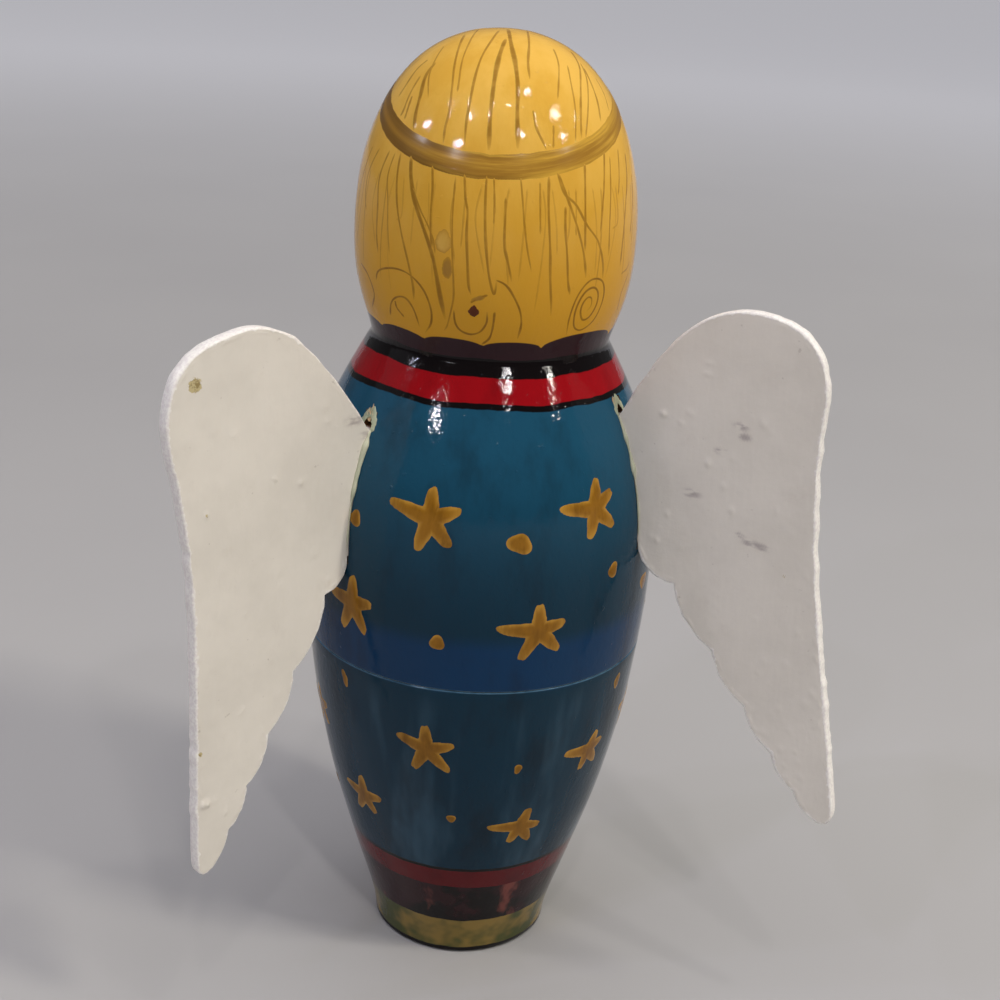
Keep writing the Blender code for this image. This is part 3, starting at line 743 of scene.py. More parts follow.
wingBumps = {  # blisters under the paint of the back face: outwards and upwards in mm, size, height
    "left": ((63.4, 103.1, 0.5, 0.2), (49.8, 106.8, 0.4, 0.22), (44.4, 104.9, 0.4, 0.22), (58.0, 116.0, 0.7, 0.12),
             (65.0, 49.1, 0.6, 0.5), (63.9, 48.9, 0.5, 0.4)),
    "right": ((36.5, 117.0, 0.5, 0.36), (41.4, 118.1, 0.45, 0.24), (43.9, 127.6, 0.38, 0.22),
              (44.0, 125.6, 0.42, 0.26), (45.7, 109.6, 0.48, 0.36), (51.0, 101.9, 0.5, 0.28),
              (39.0, 98.5, 0.45, 0.2), (59.2, 103.6, 0.4, 0.22), (55.0, 118.5, 0.5, 0.2), (40.0, 116.0, 0.4, 0.2),
              (49.0, 106.0, 0.45, 0.22), (37.5, 93.0, 0.5, 0.2)),
}
wingLumps = {"count": 60, "margin": 14, "size": (0.4, 1.0), "height": (0.03, 0.1), "swell": 0.08 * mm,
             "ragged": 0.2 * mm, "ridge": 0.045 * mm, "ridgeIn": 0.45 * mm, "ridgeWide": 0.35 * mm}


def wingGrid(pattern, wing):
    # rows run from the root to the tip; each row is a closed loop: across one face from the leading to the
    # trailing edge, round the edge in a half circle, back across the other face and round again
    leadingLine, trailing = wingEdges(pattern, wing)
    share = pathLength(trailing) / pathLength(trailing)[-1]
    length = pathLength(leadingLine)
    leading = np.stack([np.interp(share * length[-1], length, leadingLine[:, k]) for k in range(2)], 1)
    half, soft = pattern["thickness"] / 2, pattern["round"]
    rng = np.random.default_rng(wing["seed"])
    ragged = wingLumps["ragged"] * np.interp(np.arange(len(share)) / 3, np.arange(200), rng.normal(size=200) * 0.5)
    outLead, outTrail = edgeNormal(leading, True), edgeNormal(trailing, False)
    corner = pattern["tongueSteps"]
    outTrail[[corner - 1, corner]] = outTrail[[corner - 2, corner + 1]]  # so that the tongue's corner doesn't fold
    leadIn = leading - soft * outLead
    trailIn = trailing - soft * outTrail
    v = (1 - np.cos(np.linspace(0, np.pi, pattern["columns"]))) / 2
    face = leadIn[:, None] + v[None, :, None] * (trailIn - leadIn)[:, None]
    bend = np.linspace(-np.pi / 2, np.pi / 2, pattern["roundSteps"])[1:-1]
    reach = (soft + ragged[:, None]) * np.cos(bend)
    aside = np.sign(np.sin(bend)) * (half - soft) + soft * np.sin(bend)
    trailRound = trailIn[:, None] + reach[..., None] * outTrail[:, None]
    leadRound = leadIn[:, None] + reach[..., None] * outLead[:, None]
    rim = np.concatenate([leading, trailing[corner:]])[::2]
    fromRim = np.min(np.linalg.norm(face[:, :, None] - rim, axis=-1), axis=-1)
    fade = np.clip((fromRim - soft) / mm, 0, 1)
    outwards, upwards = face[..., 0], face[..., 1]
    swell = wingLumps["swell"] * np.sin(170 * outwards + 1.1) * np.sin(120 * upwards)
    # thick paint just inside the rim: a low ridge broken up by two crossing waves
    crumbs = (np.sin(2600 * outwards + 3 * np.sin(900 * upwards))
              + np.sin(2100 * upwards + 2 * np.sin(1100 * outwards)))
    ridge = np.exp(-((fromRim - soft - wingLumps["ridgeIn"]) / wingLumps["ridgeWide"]) ** 2)
    ridge = wingLumps["ridge"] * ridge * np.clip(crumbs, 0, 2)
    count, margin = wingLumps["count"], wingLumps["margin"]
    faceOff = {}
    for key, bumps in (("back", wing["bumps"]), ("front", ())):
        # each face stands off by half the board, a slow swell and a round bump at every blister
        rows, columns = rng.integers(0, len(face), count), rng.integers(margin, pattern["columns"] - margin, count)
        sizes, heights = (rng.uniform(*wingLumps[part], count) for part in ("size", "height"))
        spots = np.column_stack([face[rows, columns] / mm, sizes, heights])
        spots = np.concatenate([spots, np.reshape(bumps, (-1, 4))]) * mm
        away = np.linalg.norm(face[None] - spots[:, None, None, :2], axis=-1) / spots[:, None, None, 2]
        lumps = (spots[:, None, None, 3] * np.exp(-away ** 2)).sum(0)
        faceOff[key] = half + fade * (lumps + swell) + ridge
    near, far = ("front", "back") if wing["side"] > 0 else ("back", "front")
    flat = np.concatenate([face, trailRound[:, ::-1], face[:, ::-1], leadRound], 1)
    rounds = np.broadcast_to(aside, reach.shape)
    off = np.concatenate([faceOff[near], rounds[:, ::-1], -faceOff[far][:, ::-1], rounds], 1)
    ones = np.ones_like(reach)
    edge = np.concatenate([1 - fromRim / (2 * mm), ones, 1 - fromRim[:, ::-1] / (2 * mm), ones], 1)
    return inPlane(wing, flat, off), edge


def slotCutter(pattern, wing):
    # a board as thick as the wing and its fit: four corners carried up the root, from the slot's floor to clear air
    heights = np.linspace(wing["root"] - pattern["rootLength"] - pattern["slotFoot"],
                          wing["root"] + pattern["slotOverrun"], pattern["slotSteps"])
    inner, outer = radiusAt(heights) - pattern["slotDepth"], np.full(pattern["slotSteps"], pattern["slotOut"])
    half = pattern["thickness"] / 2 + fitGap
    flat = np.stack([np.stack([r, heights], 1) for r in (inner, outer, outer, inner)], 1)
    off = np.broadcast_to(np.array([half, half, -half, -half]), (pattern["slotSteps"], 4))
    return closeMesh(buildMesh("slotCutter", [{"grid": inPlane(wing, flat, off), "wrap": True, "caps": True}]))


def cutSlots(mesh):
    # the two slots are cut out of the shell; their walls take dark wood, painted as the shade inside the slots
    shell = newObject("slottedShell", mesh)
    cutters = []
    for wing in wingSides.values():
        cutter = newObject("slotCutter", slotCutter(wingPattern, wing))
        cutter.data.polygons.foreach_set("material_index", np.full(len(cutter.data.polygons), 2, np.int32))
        cut = shell.modifiers.new("slot", "BOOLEAN")
        cut.object, cut.operation, cut.solver = cutter, "DIFFERENCE", "EXACT"
        cutters.append(cutter)
    for piece in [shell, *cutters]:
        for material in (skinPaints["outer"], hollowWood, shadedSlotWood):
            piece.data.materials.append(material)
    bpy.context.view_layer.update()
    slotted = bpy.data.meshes.new_from_object(shell.evaluated_get(bpy.context.evaluated_depsgraph_get()))
    work = bmesh.new()
    work.from_mesh(slotted)
    work.to_mesh(mesh)
    work.free()
    for piece in [shell, *cutters]:
        bpy.data.objects.remove(piece)
    bpy.data.meshes.remove(slotted)


wingTones = {
    "chalk": (232, 225, 212), "cloud": (223, 216, 203), "stain": (190, 174, 160), "fleck": (150, 134, 118),
    "rim": (231, 224, 218), "paleRim": (245, 241, 232), "smudge": (140, 124, 124), "bare": (150, 130, 82),
    "paleBare": (198, 182, 136), "tongue": (104, 66, 36),
}
wingDepth = 0.07 * mm  # of the brushed paint's marks


def wingPaint():
    # chalky white over the board: faint clouds and stains, cream along a rough rim, with chips and smudges
    material, tree, where, shader = newMaterial("wingPaint")
    tones = {label: tint(*tone) for label, tone in wingTones.items()}
    rough = noise(tree, where, 420, 4, 0.65)
    cloud = noise(tree, where, 60, 4, 0.6)
    grain = noise(tree, where, 900, 3, 0.6, (1, 1, 0.2))
    fleck = step(tree, noise(tree, where, 620, 2, 0.5), 0.72, 0.78)
    stain = step(tree, noise(tree, where, 110, 5, 0.7), 0.58, 0.8)
    tone = mixTone(tree, step(tree, cloud, 0.35, 0.7), tones["chalk"], tones["cloud"])
    tone = mixTone(tree, calc(tree, "MULTIPLY", stain, 0.2), tone, tones["stain"])
    tone = mixTone(tree, calc(tree, "MULTIPLY", fleck, 0.3), tone, tones["fleck"])
    rim = step(tree, calc(tree, "MULTIPLY_ADD", rough, 0.9, attribute(tree, "edgeNear")), 1.14, 1.26)
    sawn = noise(tree, where, 1700, 3, 0.6)
    sawnTone = mixTone(tree, step(tree, sawn, 0.36, 0.62), tones["rim"], tones["paleRim"])
    tone = mixTone(tree, rim, tone, sawnTone)
    crumb = noise(tree, where, 1500, 3, 0.6)
    patchy = step(tree, crumb, 0.42, 0.56)
    scuff = step(tree, noise(tree, where, 420, 2, 0.5, (1, 1, 2.4)), 0.36, 0.62)
    smudge = calc(tree, "MULTIPLY", step(tree, attribute(tree, "smudge"), 0.05, 0.9), scuff)
    tone = mixTone(tree, calc(tree, "MULTIPLY", smudge, 0.6), tone, tones["smudge"])
    bare = step(tree, calc(tree, "MULTIPLY_ADD", crumb, 1.1, attribute(tree, "chip")), 1.0, 1.15)
    tone = mixTone(tree, bare, tone, mixTone(tree, patchy, tones["bare"], tones["paleBare"]))
    # the tongue inside the slot: bare wood, painted dark as the shade in the slot
    tone = mixTone(tree, attribute(tree, "tongue"), tone, tones["tongue"])
    tree.links.new(tone, shader["Base Color"])
    tree.links.new(calc(tree, "MULTIPLY_ADD", cloud, 0.2, 0.45), shader["Roughness"])
    height = calc(tree, "MULTIPLY_ADD", rough, 0.9, grain)
    height = calc(tree, "MULTIPLY_ADD", calc(tree, "MULTIPLY", rim, sawn), 0.45, height)
    relief(tree, shader, height, wingDepth)
    return material


wingSpots = {  # where the paint is off the board, and where it is smudged: outwards, upwards and size in mm
    "left": {"chip": ((65.2, 125.5, 1.5), (63.4, 103.1, 0.35), (65.2, 59.3, 0.5)),
             "smudge": ((32.9, 114.2, 1.3), (30.4, 111.1, 1.0))},
    "right": {"chip": ((62.0, 92.0, 0.3),),
              "smudge": ((51.0, 117.4, 0.9), (51.9, 115.6, 0.8), (47.8, 112.2, 0.8), (43.3, 103.3, 1.1),
                         (55.0, 96.5, 0.9), (57.4, 96.2, 0.9), (53.0, 97.6, 0.6))},
    "stretch": {"chip": (1.0, 1.0), "smudge": (0.6, 1.3)},
}


def addWings():
    paint = wingPaint()
    for side, wing in wingSides.items():
        grid, edge = wingGrid(wingPattern, {**wing, "bumps": wingBumps[side]})
        board = {"grid": grid, "wrap": True, "caps": True, "marks": {"edgeNear": edge}}
        mesh = closeMesh(buildMesh(f"{side}_wing_board", [board]))
        points = pointsOf(mesh)
        outwards = np.hypot(points[:, 0], points[:, 1])
        turn = math.radians(wing["side"] * wingPattern["spread"])
        onBack = wing["side"] * (points @ np.array([math.cos(turn), -math.sin(turn), 0])) < 0
        flat = np.stack([outwards, points[:, 2]], 1) / mm
        for mark, spots in wingSpots[side].items():
            # a soft round or flattened spot about each place, on the back face alone
            stretch = wingSpots["stretch"][mark]
            away = [np.linalg.norm((flat - spot[:2]) * stretch, axis=1) / spot[2] for spot in spots]
            setAttribute(mesh, mark, onBack * sum(np.exp(-far ** 2) for far in away))
        # the tongue, where it sits inside the skin, gets the dark tone of painted shade
        sunk = np.clip((radiusAt(points[:, 2]) - outwards) / fitGap, 0, 1)
        setAttribute(mesh, "tongue", sunk * np.clip((points[:, 2] - wing["root"]) / mm + 1.5, 0, 1))
        addPiece(mesh, [paint], "outer_upper", f"{side}_wing", 60)
    print("wings sawn and painted")


# Glue along the roots

glueBead = {"radius": {"left": 0.55 * mm, "right": 0.42 * mm}, "lumps": 0.65, "standOff": 0.12 * mm,
            "blob": {"left": 0.53, "right": 0.58}, "blobLong": 0.06, "blobBig": 0.45 * mm,
            "thinned": 0.4, "from": 0.5, "over": 0.15, "tone": (198, 198, 172), "thin": (140, 156, 128),
            "rows": 70, "knots": 18, "sides": 14, "flat": (0.8, 0.9)}


def addGlue():
    paint = strokePaint("driedGlue", glueBead["tone"], glueBead["thin"], 0.9, 0.34)
    for side, wing in wingSides.items():
        for face, sign in (("back", -1), ("front", 1)):
            rng = np.random.default_rng(wing["seed"] + (face == "front"))
            rows, knots = glueBead["rows"], glueBead["knots"]
            heights = np.linspace(wing["root"] - wingPattern["rootLength"] + mm, wing["root"], rows)
            skin = np.stack([radiusAt(heights), heights], 1)
            along = np.linspace(0, 1, rows)[:, None]
            # a bead down the corner of wing and skin: circles along the root whose radius swells and shrinks
            # by chance, with one larger blob
            swell = np.interp(np.linspace(0, knots - 1, rows), np.arange(knots), rng.uniform(-1, 1, knots))[:, None]
            ends = np.clip(np.minimum(4 * along, 12 * (1 - along)), 0.0, 1) ** 0.5
            spread = np.clip((along - glueBead["from"]) / glueBead["over"], 0, 1)
            spread = glueBead["thinned"] + (1 - glueBead["thinned"]) * spread
            blob = glueBead["blobBig"] * np.exp(-((along - glueBead["blob"][side]) / glueBead["blobLong"]) ** 2)
            radius = glueBead["radius"][side] * (1 + glueBead["lumps"] * swell) * ends * spread + blob
            angle = np.linspace(0, 2 * np.pi, glueBead["sides"], endpoint=False)[None]
            outwards = radius * np.cos(angle) * glueBead["flat"][0] + glueBead["standOff"]
            flat = skin[:, None] + np.stack([outwards, 0 * outwards], -1)
            off = wingPattern["thickness"] / 2 + glueBead["standOff"] + radius * np.sin(angle) * glueBead["flat"][1]
            bead = {"grid": inPlane(wing, flat, wing["side"] * sign * off), "wrap": True}
            mesh = closeMesh(buildMesh(f"{side}_glue_bead_{face}", [bead]))
            addPiece(mesh, [paint], "outer_upper", f"{side}_wing_glue_{face}", 80)
    print("glue run along the roots")


# Ornament: patches and strokes of paint laid on the skin

paintThickness = {"lift": 0.08 * mm, "sunk": 0.03 * mm}


def patchGrid(doll, spot, reach, steps, rings, raised=1.0, inner=0.0, drop=0.0):
    # a patch about a spot (degrees from the back, mm up): rings out to a reach that varies with direction,
    # crowned in the middle and sunk into the skin at its rim; it may start from an inner ring, dropped a little
    theta = np.linspace(0, 2 * np.pi, steps, endpoint=False)[None]
    share = np.linspace(0, 1, rings)[:, None]
    out = inner + (1 - inner) * share
    reach = reach(theta)
    radius, arc = radiusAt(spot[1] * mm), arcAt(spot[1] * mm)
    turn = math.radians(spot[0]) - out * reach * np.sin(theta) / radius
    crown = 1 - share ** 6 if not inner else 1 - np.abs(2 * share - 1) ** 4
    lift = raised * (paintThickness["lift"] * crown + 0 * theta) - paintThickness["sunk"] * share ** 2
    return {"grid": onDoll(doll, turn, arc - out * reach * np.cos(theta) + drop * (1 - share), lift), "wrap": True,
            "marks": {"rim": share + 0 * theta}}


def starReach(arms, width, taper):
    # the farthest of the arms in each direction; an arm is a tapering strip, cut off round at its length
    def reach(theta):
        far = np.full_like(theta, width)
        for lean, length in arms:
            off = np.abs((theta - math.radians(lean) + np.pi) % (2 * np.pi) - np.pi)
            narrowing = width * taper * np.cos(off) / length
            side = width / np.maximum(np.sin(np.minimum(off, np.pi / 2)) + narrowing, 1e-3)
            arm = (length ** -7 + side ** -7) ** (-1 / 7)
            far = np.maximum(far, np.where(off < np.pi / 2, arm, 0))
        return far * (1 + 0.02 * np.sin(17 * theta + 3 * arms[0][0]) + 0.015 * np.sin(29 * theta))
    return reach


def blobReach(wide, tall, lean=0.0, uneven=0.0):
    # an oval, leaned over, with a slow dent
    def reach(theta):
        t = theta - math.radians(lean)
        oval = 1 / np.hypot(np.sin(t) / wide, np.cos(t) / tall)
        return oval * (1 + uneven * np.sin(3 * theta + wide * 5000))
    return reach


def leafReach(wide, tall, corner):
    # a shape between an oval and a diamond (corner 2 or 1), drawn up to a point at its top and rough at its edge
    def reach(theta):
        side, up = np.abs(np.sin(theta)) / wide, np.abs(np.cos(theta)) / tall
        point = 1 + 0.3 * np.maximum(0, np.cos(theta)) ** 8
        rough = 1 + 0.04 * np.sin(7 * theta) + 0.03 * np.sin(13 * theta + 1)
        return (side ** corner + up ** corner) ** (-1 / corner) * point * rough
    return reach


def strokeGrid(doll, line, width, steps, raised, seed, ink=1.0):
    # a brush stroke through (degrees from the back, mm up) places, drawn as a smooth curve on the skin laid flat
    # about the crown: five points across, pressed thinner and fainter at its ends
    line = np.asarray(line, float)
    turn, arc = np.radians(line[:, 0]), arcAt(line[:, 1] * mm)
    curve = smoothPath(arc[:, None] * np.stack([np.sin(turn), np.cos(turn)], 1), steps)
    arc, turn = np.hypot(curve[:, 0], curve[:, 1]), np.arctan2(curve[:, 0], curve[:, 1])
    radius = np.maximum(np.interp(arc, outlineArc, outline[:, 0]), 2 * mm)
    pull = np.gradient(curve, axis=0)
    down = pull[:, 0] * np.sin(turn) + pull[:, 1] * np.cos(turn)
    around = (pull[:, 0] * np.cos(turn) - pull[:, 1] * np.sin(turn)) * radius / arc
    size = np.maximum(np.hypot(down, around), 1e-9)
    t = np.linspace(0, 1, steps)
    wave = 1 + 0.12 * np.sin(9 * t + 2.4 * seed) + 0.1 * np.sin(21 * t + seed)
    press = np.clip(np.minimum(t * 24, (1 - t) * 10), 0.05, 1) ** 0.7
    across = np.linspace(1, -1, 5)[None]
    half = (0.5 * width * (0.4 + 0.6 * press) * wave)[:, None]
    lift = raised * 0.5 * paintThickness["lift"] * (1 - across ** 2) - 0.3 * paintThickness["sunk"] + 0 * half
    grid = onDoll(doll, turn[:, None] - across * half * (down / size / radius)[:, None],
                  arc[:, None] + across * half * (around / size)[:, None], lift)
    return {"grid": grid, "marks": {"ink": ink * press[:, None] * (1 - across ** 4)}}


starShape = {
    "arms": ((0, 5.8), (71, 5.5), (137, 6.4), (203, 6.6), (280, 8.4)),  # degrees clockwise from up, mm
    "width": 1.85 * mm, "taper": 0.5,
}
starPlaces = {  # degrees from the back, mm up, size, and the arms of the well-seen ones
    "upper": ((23.1, 99.7, 1.05, ((0, 6.2), (68, 6.3), (140, 6.6), (199, 6.9), (284, 9.2))),
              (-30.1, 101, 1.0, ((8, 6.0), (60, 5.6), (131, 6.5), (193, 6.0), (276, 8.3))),
              (-12.1, 79.5, 1.0, ((358, 5.7), (76, 5.8), (136, 6.6), (209, 7.2), (275, 8.8))),
              (49.4, 80.3, 1.0, ((2, 5.8), (80, 5.2), (149, 6.9), (205, 7.0), (275, 7.0)))),
    "lower": ((22.1, 53.7, 0.95, ((358, 5.8), (74, 6.0), (136, 7.0), (207, 6.2), (290, 6.8))),
              (-41.3, 49.7, 0.9, ((20, 4.6), (75, 4.6), (140, 5.6), (197, 5.0), (280, 7.6))),
              (52.4, 37.2, 0.9, ((2, 5.2), (78, 5.4), (145, 5.0), (210, 5.4), (280, 6.0))),
              (-15.5, 35.2, 0.9, ((15, 5.0), (95, 4.6), (150, 5.4), (205, 5.0), (273, 7.4)))),
}
dotPlaces = {  # degrees from the back, mm up, half width and half height in mm, lean
    "upper": ((-4.4, 96.3, 2.6, 1.9, 20), (-38.5, 88.5, 1.3, 1.7, 10), (-61.5, 82, 2.2, 1.7, 10),
              (19, 76.7, 1.5, 1.6, 0), (49.4, 96.5, 1.4, 1.7, 0)),
    "lower": ((54.4, 63.4, 0.8, 2.0, -15), (-51, 63, 1.1, 1.8, 10), (-10.4, 49.8, 0.8, 1.2, 10),
              (12.8, 37.7, 1.0, 1.0, 0)),
}
frontRows = {  # the same rows carried on round the unseen front: heights and first turn of stars and of dots
    "upper": {"stars": ((100, 76), (80, 98)), "dots": ((91, 100), (74, 76))},
    "lower": {"stars": ((53, 78), (36, 104)), "dots": ((45, 104), (60, 96), (34, 78))},
    "spacing": 52, "until": 290, "size": (0.75, 0.0025), "tilt": 7, "wander": (3, 1.5),
}


def addStars(doll, detail):
    rng = np.random.default_rng(20)
    tilt, (aside, up) = frontRows["tilt"], frontRows["wander"]
    for half in ("upper", "lower"):
        stars, dots = list(starPlaces[half]), list(dotPlaces[half])
        for height, first in frontRows[half]["stars"]:
            for turn in np.arange(first, frontRows["until"], frontRows["spacing"]):
                size = frontRows["size"][0] + frontRows["size"][1] * height
                arms = [(lean + rng.uniform(-tilt, tilt), size * length * rng.uniform(0.92, 1.08))
                        for lean, length in starShape["arms"]]
                stars.append((turn + rng.uniform(-aside, aside), height + rng.uniform(-up, up), size, arms))
        for height, first in frontRows[half]["dots"]:
            for turn in np.arange(first, frontRows["until"], frontRows["spacing"]):
                dots.append((turn + rng.uniform(-4, 4), height, 1.2, rng.uniform(1.1, 1.6), 15))
        patches = []
        for turn, height, size, arms in stars:
            reach = starReach([(lean, length * mm) for lean, length in arms], size * starShape["width"],
                              starShape["taper"])
            patches.append(patchGrid(doll, (turn, height), reach, detail, 7))
        for turn, height, wide, tall, lean in dots:
            patches.append(patchGrid(doll, (turn, height), blobReach(wide * mm, tall * mm, lean, 0.1), 48, 5))
        layPaint(f"{doll['name']}_{half}_stars", patches, [goldPaint], doll["bodies"][half])


hairLines = {  # degrees from the back, mm up
    "thick": (
        ((8.2, 178.6), (12, 176.4), (13.1, 173.8), (13.3, 170.2), (13.2, 166.1), (12.5, 161.7)),
        ((3.9, 179.9), (2.9, 177.9), (1, 175), (0.4, 171.5), (1, 167.4), (0.7, 162.2)),
        ((57.4, 174.2), (57.2, 172), (53, 169.1), (50.7, 166), (48.5, 163.6)),
        ((46.4, 158.6), (44.4, 156), (41, 152.2), (36.7, 148.7), (32.5, 144.8), (30.3, 141.4), (28.4, 136.9),
         (26.7, 133)),
    ),
    "medium": (
        ((70.1, 178.7), (51.2, 177.1), (40.8, 174), (35.6, 170.7), (32.9, 167.1), (32.9, 164.5), (32.2, 162.1)),
        ((25.2, 179.7), (23.5, 178.2), (24.9, 175.7), (24.6, 172.6), (24, 169.5), (23.7, 165.8), (22.8, 162.2)),
        ((-57.1, 179.7), (-15.9, 178), (-7.9, 175.3), (-6.8, 172.8)),
        ((-64.8, 177), (-51.7, 174.8), (-38.8, 171.6), (-31.7, 167.5), (-29.1, 163.9)),
        ((-55.7, 174.6), (-50.9, 172), (-48, 169.4), (-44.4, 166.3)),
        ((67.7, 174.4), (70.4, 172.8), (69.7, 170), (70.3, 168)),
        ((61.6, 171.9), (61.2, 169.1), (60, 166.4), (60.4, 165.3)),
        ((58.5, 168.7), (57.4, 166.8), (56.5, 164.9)),
        ((-6.6, 168.2), (-7.6, 165.4), (-11.5, 162.2)),
        ((59.9, 158.8), (63.2, 154.9), (61.6, 150.2), (60.9, 145.7), (59.4, 142.2)),
        ((52.5, 158.9), (51.8, 155.5), (49.6, 151), (46.1, 146.5), (42.4, 141.9), (40.4, 138.1), (40.4, 135.5)),
        ((35.3, 157.6), (33.7, 154.4), (33.5, 151), (32.8, 147.3), (31.8, 145.2)),
        ((21.5, 157), (20.1, 153.8), (18.9, 151.7), (18.7, 148), (17.8, 143.3), (17.1, 139.5), (16, 137.9)),
        ((12.6, 156.9), (12.5, 154), (12, 149.8), (11, 145.5), (9.4, 141.1), (7.3, 138.3), (6.5, 140.5)),
        ((4.7, 154.5), (4.7, 151.5), (4.5, 146.9), (3.2, 144.4), (0.9, 140.6)),
        ((-12.1, 157.2), (-11.9, 153.2), (-12.5, 149.2), (-13.4, 145.1), (-14.3, 140.6), (-16.6, 134.5)),
        ((-15.5, 158), (-18.6, 155.3), (-23.6, 153.4), (-29, 149.9), (-35.2, 146.9), (-38.9, 143.1), (-40, 140.4)),
        ((-15.9, 157.7), (-20.6, 153.7), (-25, 149), (-28.3, 144.8), (-30.4, 140.9)),
        ((-19, 153.2), (-19.1, 149.5), (-20.5, 145), (-22, 140.5), (-23.7, 138.1)),
        ((-29, 159.1), (-28.2, 155.2), (-28.1, 149.9), (-28.6, 145.5)),
        ((-41.7, 160.9), (-38.8, 156.4), (-37, 152.2), (-36.1, 148.1)),
        ((-60.3, 160.1), (-57.4, 156.7), (-53.3, 151.5), (-51.7, 145.7), (-51.5, 141.8)),
        ((-64.5, 156.4), (-61.4, 151.7), (-58.9, 147)),
    ),
    "fine": (
        ((93.4, 179.6), (44.8, 177.7), (37.5, 174.9), (32.9, 171.6), (31.8, 170.1)),
        ((-15.7, 166), (-14.6, 162.4)),
        ((-39.9, 177.4), (-31.4, 175.2), (-23.8, 172.2), (-20.3, 169.9)),
        ((-38.9, 175), (-32.7, 172.2), (-29.8, 169.1), (-26.9, 165.5), (-25.6, 163.4)),
        ((-57.7, 175.3), (-50.1, 173.1), (-41.2, 170), (-34.8, 166.5), (-31.5, 163.9)),
        ((-61.9, 172.9), (-59.7, 170.3), (-55.9, 167.7)),
        ((67.8, 176.7), (60.3, 174.7), (54.6, 172.1), (47.1, 168.8)),
        ((75.9, 158.7), (79.5, 155.4), (82.2, 151), (82.4, 147.6)),
        ((68.3, 158.7), (73.9, 154.8), (73.1, 151), (70.7, 148.9)),
        ((55.9, 158.7), (57.6, 155.5), (55.5, 151.9), (54, 147.5), (52.3, 142.5)),
        ((42.8, 154.5), (38.6, 151.4), (34.3, 148.8), (31.6, 146.5), (30.5, 144)),
        ((9.7, 156.5), (8.9, 152.9), (8.8, 149.9)),
        ((24.8, 156.3), (24.7, 153), (24.4, 149.3), (23.7, 144.3), (23, 139.9), (23.1, 136.6), (25.6, 132.3),
         (27.5, 130.8)),
        ((-0.5, 157.3), (-1.9, 153.1), (-2.9, 149.5), (-4.4, 145.8), (-6.4, 142.3)),
        ((-8.4, 156.2), (-8.6, 152.6), (-9, 148.6)),
        ((-45, 159.9), (-42.9, 155.7), (-41.5, 149.5), (-42, 144.3)),
        ((-53.2, 160.9), (-49.7, 156.7), (-47.9, 154.3)),
        ((-61.3, 142.1), (-58.9, 140.9), (-53.4, 140.3)),
        ((-62.6, 140), (-57.9, 136.5), (-59.4, 132.9)),
    ),
    "curls": (
        ((22.9, 134.9), (22.4, 132.5), (20.1, 131.2), (16.1, 130.7), (12.2, 131.3), (9.7, 133), (9.5, 135.1)),
        ((6.9, 140.8), (2.9, 139.9), (-0.3, 138), (-3.4, 135.3), (-4.4, 132.9), (-3.7, 130.2)),
        ((6.6, 135.2), (7, 132.4), (8.2, 130.2), (11.3, 128.9)),
        ((61.8, 137.4), (59.8, 139.1), (52.4, 140.3), (44.3, 140.3), (39, 139.2), (34.9, 137.2), (32.7, 134.3),
         (33.3, 131.8), (36.6, 129.8)),
        ((55.5, 131.5), (53.1, 134.1), (48.7, 135.5), (44.2, 135.5), (40.9, 133.7), (39.1, 130.7)),
        ((50.7, 134.6), (50.1, 133.3), (46.6, 131.9)),
        ((75.5, 139.2), (68.1, 137.5), (65.2, 134.4), (70.6, 131.4)),
        ((16.2, 136.5), (12.7, 137.5), (9.5, 138.1)),
        ((-26.2, 130.5), (-25.5, 133.6), (-26.9, 137), (-30.4, 139.5), (-35, 140.5), (-40.4, 139.7),
         (-42.6, 137.2), (-41.6, 134.2), (-38.7, 132.2), (-33.5, 131.2), (-29.2, 132), (-27.8, 134.4),
         (-28.9, 136.8), (-31.8, 138.5), (-35.9, 138.9), (-38.8, 137.6), (-38.9, 135.4), (-36.3, 133.5),
         (-32.8, 133.2), (-30.6, 134.8), (-31.2, 136.4), (-33.4, 137.3), (-35.4, 136.9), (-35.8, 135.6),
         (-34, 134.7)),
    ),
    "widths": {"thick": 1.0 * mm, "medium": 0.6 * mm, "fine": 0.45 * mm, "curls": 0.5 * mm},
    "inks": {"thick": 0.72, "medium": 0.62, "fine": 0.56, "curls": 0.8},
    "faint": {"count": 30, "turns": (-82, 82), "top": 156, "bend": 150, "ends": (134, 150), "ink": (0.15, 0.4)},
    "underHalo": {"heights": (156, 161.5), "reach": 0.9},  # strokes that start at the halo's edge run up under it
}
frontHair = {  # angles from the back, heights in mm
    "side": (88, 134), "count": 9, "sideHeights": (176, 165, 150), "sideEnds": (131, 140),
    "fringe": 11, "fringeHeights": (172.5, 167, 160), "crown": 15, "crownTurns": (98, 262), "ink": (0.35, 0.65),
}


